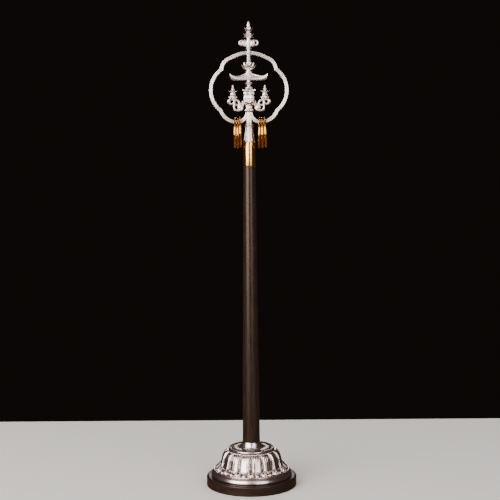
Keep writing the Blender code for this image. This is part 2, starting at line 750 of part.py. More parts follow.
def build_leaves():
    """The leafy tiers of the spire and the lotus seat under the pavilion."""
    seat_z, crown_z = stage_foot["seat"], stage_foot["crown"]
    tier_z, upper_z = stage_foot["leaf_tier"], stage_foot["upper_leaf"]
    crown_radius_high = crown_radius * 0.94
    seat = flower("seat_petals", (vase_neck_radius, seat_z - 0.4 * mm),
                  (seat_radius - 1.4 * mm, seat_z + 0.35 * seat_height),
                  [(seat_radius, seat_z + 1.1 * seat_height)],
                  (seat_radius - 0.7 * mm, seat_z + 0.8 * seat_height))
    crown = flower("crown", (knob_neck_radius, crown_z - 0.3 * mm),
                   (crown_radius * 0.6, crown_z + 0.18 * crown_height),
                   [(crown_radius, crown_z + 0.68 * crown_height),
                    (crown_radius_high, crown_z + crown_height)],
                   (crown_radius * 0.62, crown_z + 0.45 * crown_height))
    rising = flower("rising_leaves", (slim_radius - 0.6 * mm, tier_z + 0.3 * leaf_tier_height),
                    (slim_radius + 0.8 * mm, tier_z + 0.42 * leaf_tier_height),
                    [(leaf_tier_radius - 0.4 * mm, tier_z + 0.8 * leaf_tier_height)],
                    (slim_radius + 0.8 * mm, tier_z + 0.68 * leaf_tier_height), count=6)
    falling = flower("falling_leaves", (slim_radius - 0.6 * mm, tier_z + 0.6 * leaf_tier_height),
                     (slim_radius + 1.2 * mm, tier_z + 0.45 * leaf_tier_height),
                     [(leaf_tier_radius, tier_z + 0.08 * leaf_tier_height)],
                     (slim_radius + 1.0 * mm, tier_z + 0.2 * leaf_tier_height), count=6)
    upper = flower("upper_leaves", (slim_radius - 0.8 * mm, upper_z - 0.6 * mm),
                   (slim_radius + 0.2 * mm, upper_z + 0.25 * upper_leaf_height),
                   [(upper_leaf_radius, upper_z + upper_leaf_height)],
                   (slim_radius + 0.3 * mm, upper_z + 0.5 * upper_leaf_height), count=6)
    return [seat, crown, rising, falling, upper]


def build_head(material):
    column = baked(turned("column", column_profile()[::-1], column_steps))
    roof = build_roof("roof", roof_half_width, roof_half_depth, stage_foot["roof"],
                      stage_top["roof"], roof_tip_rise, roof_eave_thickness, roof_waist,
                      roof_top_radius, (1.0, 0.88, 0.5, 0.0, -0.5, -0.88),
                      (1.0, 0.5, 0.0, -0.5))
    shoulder = build_roof("shoulder", shoulder_half_width, shoulder_half_depth,
                          stage_foot["shoulder"], stage_top["shoulder"], shoulder_tip_rise,
                          shoulder_eave_thickness, shoulder_waist, shoulder_top_radius,
                          (1.0, 0.7, 0.0, -0.7), (1.0, 0.0))
    pieces = [column, build_skirt(), roof, shoulder, build_pavilion(),
              build_bar("bar_left", 1), build_bar("bar_right", -1)]
    pieces += build_leaves() + build_ears() + build_side_work()
    head = joined("staff_head", pieces)
    finish(head, material, 40.0)


# Rings

def bar_top(x):
    """Height of the bar's upper edge on a lower lobe, at this distance from the middle."""
    path = [Vector(place) for place in lower_lobe()]
    heights = []
    for start, end in zip(path, path[1:]):
        along = (end - start).normalized()
        lift = bar_width / 2 + (-abs(x) - start.x) * along.y
        heights.append(start.y + lift / along.x)
    return max(heights)


def build_rings(material):
    half, outer = ring_width / 2, ring_radius
    inner = outer - ring_thickness
    soft = ring_thickness * 0.22
    profile = [(outer - soft, half), (outer, 0.0), (outer - soft, -half), (inner, -half),
               (inner, half)]
    for side, (reach, lean, splay) in ring_places.items():
        for k in range(rings_per_side):
            step = k - (rings_per_side - 1) / 2
            x = reach + step * ring_pitch
            rest = max(bar_top(x - half - gap), bar_top(x + half + gap)) + gap
            name = "ring_%s_%d" % (side, k + 1)
            ring = turned(name, profile, ring_steps, closed=True, collection=parts)
            turn = Matrix.Rotation(math.pi / 2, 4, "Y")
            hang = Matrix.Translation((0.0, 0.0, -inner))
            tilt = Matrix.Rotation(-(lean + step * splay), 4, "Y")
            ring.matrix_world = Matrix.Translation((x, 0.0, rest)) @ tilt @ hang @ turn
            ring.data.materials.append(material)


def build_staff():
    dark_wood = make_material("dark_wood", (0.035, 0.022, 0.018), 0.38, 0.0)
    shaft_wood = make_material("shaft_wood", (0.040, 0.026, 0.022), 0.32, 0.0)
    silver = make_material("silver_casting", (0.80, 0.79, 0.77), 0.28, 1.0)
    bright_silver = make_material("bright_casting", (0.90, 0.89, 0.87), 0.22, 1.0)
    brass = make_material("polished_brass", (0.86, 0.58, 0.20), 0.16, 1.0)
    ring_brass = make_material("ring_brass", (0.84, 0.55, 0.20), 0.2, 1.0)
    build_disc(dark_wood)
    build_lotus(silver)
    build_shaft(shaft_wood)
    build_ferrule(brass)
    build_head(bright_silver)
    build_rings(ring_brass)


build_staff()
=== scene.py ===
import math

import bmesh
import bpy
from mathutils import Matrix, Vector
from mathutils.bvhtree import BVHTree


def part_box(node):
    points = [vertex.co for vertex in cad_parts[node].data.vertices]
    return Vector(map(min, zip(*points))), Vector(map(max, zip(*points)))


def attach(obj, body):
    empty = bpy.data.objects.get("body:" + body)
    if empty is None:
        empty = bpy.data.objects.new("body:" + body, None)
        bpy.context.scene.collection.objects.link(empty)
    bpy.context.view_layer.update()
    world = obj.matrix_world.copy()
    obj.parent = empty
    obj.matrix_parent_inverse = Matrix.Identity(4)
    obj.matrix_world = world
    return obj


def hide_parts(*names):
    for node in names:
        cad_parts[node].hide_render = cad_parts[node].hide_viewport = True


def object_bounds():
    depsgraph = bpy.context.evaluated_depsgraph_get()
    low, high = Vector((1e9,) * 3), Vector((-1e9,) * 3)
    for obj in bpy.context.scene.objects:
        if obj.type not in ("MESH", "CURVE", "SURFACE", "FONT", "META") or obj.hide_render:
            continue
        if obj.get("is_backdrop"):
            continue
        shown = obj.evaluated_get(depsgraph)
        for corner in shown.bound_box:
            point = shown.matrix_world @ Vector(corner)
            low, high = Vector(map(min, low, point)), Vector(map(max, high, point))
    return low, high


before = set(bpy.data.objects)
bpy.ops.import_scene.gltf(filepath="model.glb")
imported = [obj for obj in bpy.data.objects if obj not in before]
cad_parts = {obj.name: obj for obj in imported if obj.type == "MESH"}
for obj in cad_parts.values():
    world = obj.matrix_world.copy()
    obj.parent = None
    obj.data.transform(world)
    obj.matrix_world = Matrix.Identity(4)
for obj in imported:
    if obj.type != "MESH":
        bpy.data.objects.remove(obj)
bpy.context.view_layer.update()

# A table-top ringed staff on a lotus stand. Meshes are worked out in millimetres, counted from
# the middle of the underside, and the front faces -Y.

mm = 0.001
front = -math.pi / 2                      # the angle round the axis that faces the camera
fitGap = 0.3                              # left between pieces that fit in each other


def report(words):
    print("ringed staff:", words)


def nodeBox(node):
    low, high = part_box(node)
    return low / mm, high / mm


def putInScene(name, data):
    thing = bpy.data.objects.new(name, data)
    bpy.context.scene.collection.objects.link(thing)
    return thing


# Shader nodes

class Signal:
    # one socket, so that shader maths reads as plain sums
    def __init__(self, wiring, socket):
        self.wiring, self.socket = wiring, socket

    def maths(self, operation, first, second, clamp=False):
        return self.wiring.node("ShaderNodeMath", {"operation": operation, "use_clamp": clamp},
                                {0: first, 1: second})

    def __add__(self, other):
        return self.maths("ADD", self, other)

    def __radd__(self, other):
        return self.maths("ADD", other, self)

    def __sub__(self, other):
        return self.maths("SUBTRACT", self, other)

    def __rsub__(self, other):
        return self.maths("SUBTRACT", other, self)

    def __mul__(self, other):
        return self.maths("MULTIPLY", self, other)

    def __rmul__(self, other):
        return self.maths("MULTIPLY", other, self)

    def clamped(self):
        return self.maths("ADD", self, 0.0, clamp=True)


class Wiring:
    # a node tree, and the one way in which nodes are added to it
    def __init__(self, tree):
        self.tree = tree

    def feed(self, socket, value):
        if isinstance(value, Signal):
            self.tree.links.new(value.socket, socket)
        else:
            socket.default_value = value

    def node(self, kind, settings=None, sockets=None, output=0):
        made = self.tree.nodes.new(kind)
        for name, value in (settings or {}).items():
            setattr(made, name, value)
        for name, value in (sockets or {}).items():
            self.feed(made.inputs[name], value)
        return Signal(self, made.outputs[output])

    def blend(self, share, first, second):
        return self.node("ShaderNodeMix", {"data_type": "RGBA"}, {0: share, 6: first, 7: second}, 2)

    def spread(self, value, low, high):
        return self.node("ShaderNodeMapRange", {"interpolation_type": "SMOOTHSTEP"},
                         {"Value": value, "From Min": low, "From Max": high})


class Finish(Wiring):
    # one material; its constants are named as the shader's sockets are
    def __init__(self, name, **constants):
        self.material = bpy.data.materials.new(name)
        self.material.use_nodes = True
        super().__init__(self.material.node_tree)
        self.shader = self.tree.nodes["Principled BSDF"]
        for socket, value in constants.items():
            self.give(socket.replace("_", " "), value)

    def give(self, socket, value):
        self.feed(self.shader.inputs[socket], value)

    def noise(self, scale, stretch=(1.0, 1.0, 1.0), detail=3.0, roughness=0.5):
        spot = self.node("ShaderNodeTexCoord", output="Object")
        place = self.node("ShaderNodeMapping", {}, {"Vector": spot, "Scale": stretch})
        return self.node("ShaderNodeTexNoise", {}, {"Vector": place, "Scale": scale, "Detail": detail,
                                                    "Roughness": roughness})

    def bump(self, height, strength, distance):
        self.give("Normal", self.node("ShaderNodeBump", {}, {"Height": height, "Strength": strength,
                                                             "Distance": distance}))


castingLook = {
    "silver": (0.88, 0.775, 0.755, 1.0),
    # the painted shade's colour, laid into the hollows
    "tarnish": (0.085, 0.058, 0.050, 1.0),
    "stain": (0.62, 0.555, 0.54, 1.0),
    "stainShare": 0.35,                   # how far the stain covers the metal
    "dullness": 0.50,                     # roughness where the shade is painted
    "grainScale": 1500.0,
    "grainDepth": 0.00012,
    "cloudScale": 90.0,
    # brightness, polish, and how shut in the metal is where the painted shade starts and is full
    "lotus": (0.92, 0.22, (0.48, 0.86)),
    "head": (1.2, 0.29, (0.50, 0.92)),
}


def castingFinish(name, bright, polish, shadeMaskEdges):
    # polished high places, painted shade (near-black brown, duller) in the hollows, faint cloudy
    # staining
    look = castingLook
    finish = Finish(name, Metallic=1.0)
    hollow = finish.node("ShaderNodeAttribute", {"attribute_name": "hollow"}, output="Fac")
    cloud = finish.noise(look["cloudScale"], detail=4.0, roughness=0.6)
    grain = finish.noise(look["grainScale"], detail=2.0)
    # painted shade: its mask rises with how shut in the mesh is, a little broken up by the cloud
    shadeMask = finish.spread(hollow + (cloud - 0.5) * 0.25, *shadeMaskEdges)
    metal = tuple(min(1.0, part * bright) for part in look["silver"][:3]) + (1.0,)
    unshadedMetal = finish.blend(finish.spread(cloud, 0.5, 0.75) * look["stainShare"], metal, look["stain"])
    # the painted shade darkens the metal in the hollows
    finish.give("Base Color", finish.blend(shadeMask, unshadedMetal, look["tarnish"]))
    rough = polish + grain * 0.06 + (cloud - 0.5) * 0.10
    finish.give("Roughness", (rough + shadeMask * (look["dullness"] - polish)).clamped())
    finish.bump(grain + cloud * 0.6, 0.12, look["grainDepth"])
    return finish.material


brassLook = {
    "ferrule": ((0.98, 0.62, 0.17, 1.0), (0.84, 0.47, 0.11, 1.0)),    # clean and deep tones
    "ring": ((0.93, 0.48, 0.10, 1.0), (0.64, 0.28, 0.05, 1.0)),
    "polish": 0.11,
    "lineScale": 600.0,
    "lineDepth": 0.0001,
    "cloudScale": 120.0,
}


def brassFinish(name, tones, stretch):
    # polished brass with fine lines along the last pass of the wheel
    finish = Finish(name, Metallic=1.0)
    lines = finish.noise(brassLook["lineScale"], stretch, 2.0)
    cloud = finish.noise(brassLook["cloudScale"])
    finish.give("Base Color", finish.blend(finish.spread(cloud, 0.42, 0.72), *tones))
    finish.give("Roughness", brassLook["polish"] + lines * 0.07 + cloud * 0.05)
    finish.bump(lines, 0.05, brassLook["lineDepth"])
    return finish.material


woodLook = {
    "dark": (0.010, 0.0058, 0.0045, 1.0),
    "light": (0.021, 0.0122, 0.0092, 1.0),
    "dust": (0.048, 0.034, 0.028, 1.0),
    "shine": 0.47,
    "shineTint": (1.0, 0.74, 0.60, 1.0),
    "grainScale": 260.0,
    "poreScale": 900.0,
    "poreDepth": 0.0002,
    "cloudScale": 45.0,
}


def woodFinish(name, stretch, roughness, dusty):
    # dark lacquered wood: the grain shows faintly through the lacquer
    look = woodLook
    finish = Finish(name, Specular_IOR_Level=look["shine"], Specular_Tint=look["shineTint"])
    grain = finish.noise(look["grainScale"], stretch, 5.0, 0.62)
    pores = finish.noise(look["poreScale"], stretch, 2.0)
    cloud = finish.noise(look["cloudScale"])
    colour = finish.blend(finish.spread(grain, 0.38, 0.66), look["dark"], look["light"])
    dust = finish.spread(cloud, 0.55, 0.85) * dusty
    finish.give("Base Color", finish.blend(dust, colour, look["dust"]))
    finish.give("Roughness", roughness + grain * 0.08 + (cloud - 0.5) * 0.06)
    finish.bump(grain + pores * 0.5, 0.07, look["poreDepth"])
    return finish.material


# Mesh code

blade = {
    "sides": 10,
    "perSpan": 5,
    "root": 0.22,                         # the width starts this far along a sine's half wave
    "fullness": 0.75,
    "thinning": 0.6,                      # of the thickness, lost towards the tip
    "ridge": 0.35,                        # of the thickness, along the middle
}


class Casting:
    # closed shells gathered into one piece
    def __init__(self, name):
        self.name, self.points, self.faces = name, [], []

    def skin(self, rows, loop=False):
        # a shell over rows of points; a row of one point is a tip
        starts = []
        for row in rows:
            starts.append((len(self.points), len(row)))
            self.points += [tuple(point) for point in row]
        spans = list(zip(starts, starts[1:]))
        if loop:
            spans.append((starts[-1], starts[0]))
        for (low, lowCount), (high, highCount) in spans:
            count = max(lowCount, highCount)
            for k in range(count):
                after = (k + 1) % count
                if lowCount == 1:
                    self.faces.append((low, high + after, high + k))
                elif highCount == 1:
                    self.faces.append((low + k, low + after, high))
                else:
                    self.faces.append((low + k, low + after, high + after, high + k))
        if not loop:
            for start, count in (starts[0], starts[-1]):
                if count > 1:
                    self.faces.append(tuple(range(start, start + count)))

    def turn(self, profile, steps, relief=None, middle=0.0, loop=False):
        # a turned shape; its relief stands out by the angle from the front and the height
        rows = []
        for radius, height in profile:
            if not radius:
                rows.append([(middle, 0.0, height)])
                continue
            row = []
            for k in range(steps):
                turn = 2 * math.pi * k / steps
                reach = radius + (relief(turn, height) if relief else 0.0)
                row.append((middle + reach * math.cos(front + turn), reach * math.sin(front + turn),
                            height))
            rows.append(row)
        self.skin(rows, loop)

    def sweep(self, path, section):
        # along (x, z) places in the frame's plane; the section is (across, depth) places
        rows = []
        for k, place in enumerate(path):
            here = Vector(place)
            coming = (here - Vector(path[k - 1])).normalized() if k else None
            going = (Vector(path[k + 1]) - here).normalized() if k < len(path) - 1 else coming
            coming = coming or going
            along = (coming + going).normalized()
            across = Vector((along.y, -along.x)) / max(0.6, along.dot(coming))
            rows.append([(here.x + across.x * a, d, here.y + across.y * a) for a, d in section])
        self.skin(rows)

    def ball(self, x, z, width, depth, height, steps=20):
        rows = [[(x, 0.0, z - height)]]
        for k in range(1, steps // 2):
            lift = math.pi * (k / (steps // 2) - 0.5)
            rows.append([(x + width * math.cos(lift) * math.cos(2 * math.pi * n / steps),
                          depth * math.cos(lift) * math.sin(2 * math.pi * n / steps),
                          z + height * math.sin(lift)) for n in range(steps)])
        self.skin(rows + [[(x, 0.0, z + height)]])

    def leaf(self, spine, angle, width, thickness, cup, middle):
        # a pointed blade that grows along (radius, height) places, at one angle round an axis
        curve = curveThrough(spine, blade["perSpan"])
        outward = Vector((math.cos(angle), math.sin(angle)))
        sideways = Vector((-outward.y, outward.x))
        rows = []
        for k, place in enumerate(curve[:-1]):
            share = k / (len(curve) - 1)
            ahead = (Vector(curve[k + 1]) - Vector(curve[max(0, k - 1)])).normalized()
            wave = math.sin(math.pi * (blade["root"] + (1 - blade["root"]) * share))
            half = width * wave ** blade["fullness"]
            row = []
            for n in range(blade["sides"]):
                turn = 2 * math.pi * n / blade["sides"]
                across, up = math.cos(turn), math.sin(turn)
                rise = up * thickness * (1 - blade["thinning"] * share)
                rise += blade["ridge"] * thickness * (1 - abs(across)) * (up > 0)
                rise -= cup * half * across * across
                spot = outward * (place[0] + ahead.y * rise) + sideways * across * half
                row.append((spot.x + middle, spot.y, place[1] - ahead.x * rise))
            rows.append(row)
        tip = outward * curve[-1][0]
        self.skin(rows + [[(tip.x + middle, tip.y, curve[-1][1])]])

    def fuse(self, other, voxel, smoothing=3):
        # the other casting's shells melted into one skin and added to this one
        lump = other.build(scale=1.0)
        melt = lump.modifiers.new("melt", "REMESH")
        melt.mode = "VOXEL"
        melt.voxel_size = voxel
        ease = lump.modifiers.new("ease", "SMOOTH")
        ease.factor = 0.5
        ease.iterations = smoothing
        bpy.context.view_layer.update()
        melted = bpy.data.meshes.new_from_object(
            lump.evaluated_get(bpy.context.evaluated_depsgraph_get()))
        start = len(self.points)
        self.points += [tuple(vertex.co) for vertex in melted.vertices]
        self.faces += [tuple(start + n for n in face.vertices) for face in melted.polygons]
        bpy.data.objects.remove(lump, do_unlink=True)
        bpy.data.meshes.remove(melted)

    def build(self, scale=mm, sharp=40.0):
        mesh = bpy.data.meshes.new(self.name)
        mesh.from_pydata(self.points, [], self.faces)
        shape = bmesh.new()
        shape.from_mesh(mesh)
        bmesh.ops.recalc_face_normals(shape, faces=shape.faces)
        shape.to_mesh(mesh)
        shape.free()
        mesh.transform(Matrix.Scale(scale, 4))
        mesh.shade_smooth()
        mesh.set_sharp_from_angle(angle=math.radians(sharp))
        return putInScene(self.name, mesh)


def handIn(piece, finish, node):
    piece.data.materials.append(finish)
    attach(piece, "root")
    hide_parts(node)
    report("%s has %d faces" % (piece.name, len(piece.data.polygons)))


def curveThrough(points, perSpan):
    ends = [points[0]] + list(points) + [points[-1]]
    curve = []
    for k in range(len(points) - 1):
        a, b, c, d = [Vector(place) for place in ends[k:k + 4]]
        for step in range(perSpan):
            t = step / perSpan
            curve.append(tuple(0.5 * (2 * b + (c - a) * t + (2 * a - 5 * b + 4 * c - d) * t ** 2
                                      + (3 * b - a - 3 * c + d) * t ** 3)))
    curve.append(tuple(points[-1]))
    return curve


def arc(centreX, centreZ, radius, start, end, steps):
    places = []
    for k in range(steps + 1):
        angle = math.radians(start + (end - start) * k / steps)
        places.append((centreX + radius * math.cos(angle), centreZ + radius * math.sin(angle)))
    return places


def bulgedArc(start, end, bulge, steps):
    # the arc from start to end that bulges to the right of that direction
    start, end = Vector(start), Vector(end)
    chord = end - start
    half = chord.length / 2
    radius = (half * half + bulge * bulge) / (2 * bulge)
    outward = Vector((chord.y, -chord.x)).normalized()
    centre = (start + end) / 2 + outward * (bulge - radius)
    first = math.degrees(math.atan2(start.y - centre.y, start.x - centre.x))
    swing = 2 * math.degrees(math.asin(min(1.0, half / radius)))
    if bulge > radius:
        swing = 360 - swing
    return arc(centre.x, centre.y, radius, first, first + swing, steps)


def levelArc(lowest, end, steps):
    # the arc that is level at its lowest place and rises to the end
    across, up = end[0] - lowest[0], end[1] - lowest[1]
    radius = (across * across + up * up) / (2 * up)
    turn = math.degrees(math.atan2(up - radius, across))
    return arc(lowest[0], lowest[1] + radius, radius, -90, turn, steps)


def bead(radius, low, high, swell=1.0, steps=8):
    # a rounded moulding that stands out from a turned piece, from its low edge to its high edge
    half = (high - low) / 2
    return [(radius + swell * half * math.cos(turn), (low + high) / 2 + half * math.sin(turn))
            for turn in [math.pi * (k / steps - 0.5) for k in range(steps + 1)]]


def fromCorner(corner, offsets):
    # places that are given by how far out and up they are from a corner
    return [(corner[0] + out, corner[1] + up) for out, up in offsets]


def atRadius(row, radius, height, share=1.0):
    # a ring of points pulled to one radius, and that share of the way to a height
    return [(x * radius / math.hypot(x, y), y * radius / math.hypot(x, y), z + (height - z) * share)
            for x, y, z in row]


def smooth(value, low, high):
    share = min(1.0, max(0.0, (value - low) / (high - low)))
    return share * share * (3 - 2 * share)


def hill(value, middle, half):
    # 1 at the middle, falling to 0 at half the width away
    return smooth(half - abs(value - middle), 0.0, half)


goldenTurn = 2.399963                     # radians between one ray and the next


def markHollows(piece, reach, rays):
    # how shut in each point is, from 0 in the open to 1 in a deep hollow; the casting finishes paint
    # shade by it
    mesh = piece.data
    tree = BVHTree.FromObject(piece, bpy.context.evaluated_depsgraph_get())
    fan = []
    for k in range(rays):
        lift = math.asin(math.sqrt((k + 0.5) / rays))
        turn = goldenTurn * k
        fan.append(Vector((math.sin(lift) * math.cos(turn), math.sin(lift) * math.sin(turn),
                           math.cos(lift))))
    values = []
    for vertex in mesh.vertices:
        facing = vertex.normal.to_track_quat("Z", "Y").to_matrix()
        origin = vertex.co + vertex.normal * reach * 0.02    # just clear of its own faces
        met = sum(1 for ray in fan if tree.ray_cast(origin, facing @ ray, reach)[0])
        values.append(met / rays)
    spread = mesh.attributes.new("hollow", "FLOAT", "POINT")
    spread.data.foreach_set("value", values)


# Camera, lights and floor

cameraPlace = {
    "distance": 1.2,                      # in front of the staff's axis
    "height": 0.3587,
    "pitch": math.atan(120 / 1206),       # looking down
    "roll": math.radians(-0.41),          # the staff leans a little to the left in the picture
    "focalPixels": 1206.0,
    "picturePixels": 500.0,
    "sensor": 36.0,
}


def placeCamera():
    view = bpy.data.cameras.new("camera")
    view.sensor_width = cameraPlace["sensor"]
    view.lens = cameraPlace["sensor"] * cameraPlace["focalPixels"] / cameraPlace["picturePixels"]
    camera = putInScene("camera", view)
    camera.matrix_world = (Matrix.Translation((0.0, -cameraPlace["distance"], cameraPlace["height"]))
                           @ Matrix.Rotation(math.pi / 2 - cameraPlace["pitch"], 4, "X")
                           @ Matrix.Rotation(cameraPlace["roll"], 4, "Z"))
    bpy.context.scene.camera = camera


studio = {
    "aim": 0.25,                          # metres above the floor
    # name: azimuth to the right of the front, elevation, distance, width, height, watts
    "boxes": {
        "leftBox": (-38.0, 17.0, 1.5, 1.25, 1.36, 43.0),
        "rightBox": (29.0, 17.0, 1.5, 0.85, 1.36, 12.0),
        "overhead": (0.0, 55.0, 1.5, 1.6, 0.9, 1.8),
        "backStrip": (180.0, 10.6, 1.6, 0.20, 0.40, 1.2),
    },
    "warmth": (1.0, 0.93, 0.88),
    "backdrop": (0.0060, 0.0042, 0.0036, 1.0),
    "surroundings": (0.030, 0.017, 0.013, 1.0),
    "table": (0.17, 0.090, 0.058, 1.0),   # what shows in the metal where it looks down
    "tableEdge": (-0.42, -0.14),          # all table at the first height, none above the second
    "fill": (0.62, 0.60, 0.585, 1.0),
    "floor": (0.70, 0.69, 0.675, 1.0),
    "floorRoughness": 0.85,
    "floorEdges": (-1.5, 1.5, -0.5, 0.27),  # left, right, near and far, in metres
}


def placeLights():
    for name, (azimuth, elevation, distance, width, height, watts) in studio["boxes"].items():
        light = bpy.data.lights.new(name, "AREA")
        light.shape = "RECTANGLE"
        light.size, light.size_y = width, height
        light.energy, light.color = watts, studio["warmth"]
        lamp = putInScene(name, light)
        around, up = math.radians(azimuth), math.radians(elevation)
        away = Vector((math.sin(around) * math.cos(up), -math.cos(around) * math.cos(up),
                       math.sin(up)))
        lamp.location = Vector((0.0, 0.0, studio["aim"])) + away * distance
        lamp.rotation_euler = away.to_track_quat("Z", "Y").to_euler()
        lamp.visible_camera = False


def makeWorld():
    # a dark backdrop, dark warm surroundings in the reflections, and a soft fill on matt surfaces
    world = bpy.data.worlds.new("studio")
    bpy.context.scene.world = world
    world.use_nodes = True
    wiring = Wiring(world.node_tree)
    nodes = world.node_tree.nodes
    direction = wiring.node("ShaderNodeTexCoord", output="Generated")
    height = wiring.node("ShaderNodeSeparateXYZ", {}, {0: direction}, "Z")
    room = wiring.blend(wiring.spread(height, *studio["tableEdge"]), studio["table"],
                        studio["surroundings"])
    nodes["Background"].inputs["Color"].default_value = studio["fill"]
    shown = Signal(wiring, nodes["Background"].outputs[0])
    for ray, colour in (("Is Glossy Ray", room), ("Is Camera Ray", studio["backdrop"])):
        seen = wiring.node("ShaderNodeLightPath", output=ray)
        glow = wiring.node("ShaderNodeBackground", {}, {"Color": colour})
        shown = wiring.node("ShaderNodeMixShader", {}, {"Fac": seen, 1: shown, 2: glow})
    wiring.feed(nodes["World Output"].inputs["Surface"], shown)


def layFloor():
    mesh = bpy.data.meshes.new("floor")
    left, right, near, far = studio["floorEdges"]
    mesh.from_pydata([(left, near, 0.0), (right, near, 0.0), (right, far, 0.0), (left, far, 0.0)],
                     [], [(0, 1, 2, 3)])
    floor = putInScene("floor", mesh)
    finish = Finish("floorPaper", Base_Color=studio["floor"], Roughness=studio["floorRoughness"])
    mesh.materials.append(finish.material)
    floor.visible_glossy = False          # so the metal isn't washed out by the pale paper
    floor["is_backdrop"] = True


placeCamera()
placeLights()
makeWorld()
layFloor()
report("camera, lights and floor are in place")


# Wooden disc

disc = {
    "edge": 1.7,                          # rounding of the upper edge
    "footEdge": 0.7,
    "dish": 0.25,                         # the underside is very slightly hollow
    "dishInset": (6.0, 5.2),              # its edge and the flat ring's, in from the rim
    "sideDips": (0.05, 0.15),             # the side is drawn in at its ends and middle
    "sideEnds": (1.0, 0.8),               # from the lower and upper rounding
    "seatInset": (4.0, 4.6),
    "seatDepth": 0.05,                    # of the recess under the casting
    "steps": 160,
}


def makeDisc():
    low, high = nodeBox("base_disc")
    radius, top = high.x, high.z
    edge, foot = disc["edge"], disc["footEdge"]
    dip, middleDip = disc["sideDips"]
    profile = [(0.0, disc["dish"]), (radius - disc["dishInset"][0], disc["dish"]),
               (radius - disc["dishInset"][1], 0.0)]
    profile += arc(radius - foot, foot, foot, -90, 0, 5)
    profile += curveThrough([(radius - dip, foot + disc["sideEnds"][0]), (radius - middleDip, top / 2),
                             (radius - dip, top - edge - disc["sideEnds"][1])], 3)
    profile += arc(radius - edge, top - edge, edge, 0, 90, 8)
    profile += [(radius - disc["seatInset"][0], top),
                (radius - disc["seatInset"][1], top - disc["seatDepth"]), (0.0, top - disc["seatDepth"])]
    piece = Casting("baseDisc")
    piece.turn(profile, disc["steps"])
    return piece.build()


handIn(makeDisc(), woodFinish("discWood", (0.3, 3.0, 3.0), 0.30, 0.25), "base_disc")


# Lotus casting

lotus = {
    "petalCount": 16,
    "petalTurn": math.radians(-1.5),      # one parting stands this far left of the front
    "petalRise": 5.8,                     # petal tips above the casting's foot
    "petalHeight": 20.3,
    # share of the petals' height above their tips, and radius there
    "crest": ((0.0, 36.9), (0.05, 36.75), (0.10, 36.4), (0.145, 35.85), (0.18, 35.0), (0.21, 33.9),
              (0.25, 32.5), (0.30, 31.2), (0.37, 30.1), (0.50, 29.4), (0.67, 28.7), (0.80, 27.6),
              (0.90, 26.4), (1.0, 24.6)),
    "body": ((0.0, 31.0), (0.10, 31.6), (0.16, 32.3), (0.22, 32.3), (0.28, 32.0), (0.36, 31.4),
             (0.50, 30.7), (0.67, 29.8), (0.80, 28.6), (0.90, 27.2), (0.95, 26.2), (1.0, 24.7)),
    "valley": ((0.0, 34.3), (0.10, 33.1), (0.20, 30.9), (0.36, 28.8), (0.67, 27.2), (0.85, 25.4),
               (1.0, 23.6)),
    "rimPlace": 0.50,                     # of each petal's folded rim, from the parting
    "rimHalf": 0.44,
    "rimClear": 0.15,                     # the rim's middle, beside the pointed tip's flank
    "rimLift": 0.2,                       # above the tips that it runs down to
    "bodyShare": 0.78,                    # of half the pitch
    "bodyFoot": 0.155,
    "bodyFull": 0.31,
    "bodyTop": 0.945,
    "bodyRounding": 2.8,                  # how square its foot's outline is
    "flank": (7, 0.42),                   # powers that make its sides steep and its front flat
    "notch": 0.022,
    "streaks": 4,                         # fine lines down each petal
    "streakDepth": (0.10, 0.50),          # low down, and at the top
    "streakDeepens": (0.55, 0.95),
    "streakStarts": (0.2, 0.4),
    # place across, top, widest place, half width, share of the width left at the point, taper
    "tips": ((1.0, 0.31, 0.075, 0.38, 0.50, 1.15), (0.0, 0.165, 0.06, 0.50, 0.60, 0.6)),
    "tipPoint": 1.6,
    "tipFullness": 2.4,
    "tipRidge": 0.14,
    "columns": 50,                        # points across one petal
    "rows": 84,
    "waist": 29.4,
    "rootRadius": 19.175,                 # of the petals' skin, inside the solid
    # the flange's rounded edge: in from its radius, and up from its foot
    "flange": ((0.0, 0.8), (-0.12, 1.6), (-0.5, 2.7), (-1.05, 3.6), (-1.8, 4.4), (-2.5, 4.9)),
    "flangeHeight": 5.0,
    "flangeEdge": 0.7,
    "footInset": 2.2,
    "grooveDepth": 2.9,
    "grooveEdge": ((0.3, -0.02), (0.0, 0.1)),
    "beadInset": 1.9,
    "beadHeight": 1.5,
    "beadLift": 0.4,
    "inside": (1.0, 2.5, 1.5),            # how far the turned body keeps behind the petals
    "rimRadius": 22.3,
    "rimBead": 1.25,
    "domeHeight": 3.4,
    "domeFoot": ((-0.3, 0.2), (-3.0, 0.9)),
    "domeHead": ((1.6, -0.25), (0.35, 0.0)),
    "stepWidth": 1.4,
    "stepHeight": 0.6,
    "stepFoot": 0.15,
    "stepEdge": ((0.0, -0.25), (-0.25, 0.0)),
    "collarWall": 0.6,
    "collarFlare": 1.7,
    "collarGap": 0.3,
    "collarFoot": (0.0, 0.2),
    "collarNeck": (0.7, 2.2),
    "collarHead": (0.1, -0.8),
    "collarEdge": 0.3,
    "steps": 192,
    "hollowReach": 0.005,                 # metres to which a hollow is felt
    "hollowRays": 14,
}


def tracedLevel(places):
    # the radius along a smooth line through a few places, from its share of the height
    curve = curveThrough(places, 10)

    def level(rise):
        for (low, first), (high, second) in zip(curve, curve[1:]):
            if rise <= high:
                return first + (second - first) * (rise - low) / (high - low)
        return curve[-1][1]

    return level


def mound(away, power=2.0):
    # rounded on top, with steep sides: 1 in the middle and 0 from 1 away
    return (1 - abs(away) ** power) ** 0.75 if abs(away) < 1 else 0.0


def eased(levels):
    # each radius shared a little with its neighbours, so that slanting edges run clean
    made = []
    for k, row in enumerate(levels):
        below, above = levels[max(0, k - 1)], levels[min(len(levels) - 1, k + 1)]
        after = row[1:] + row[:1]
        made.append([0.5 * here + 0.125 * (row[n - 1] + after[n] + below[n] + above[n])
                     for n, here in enumerate(row)])
    return made


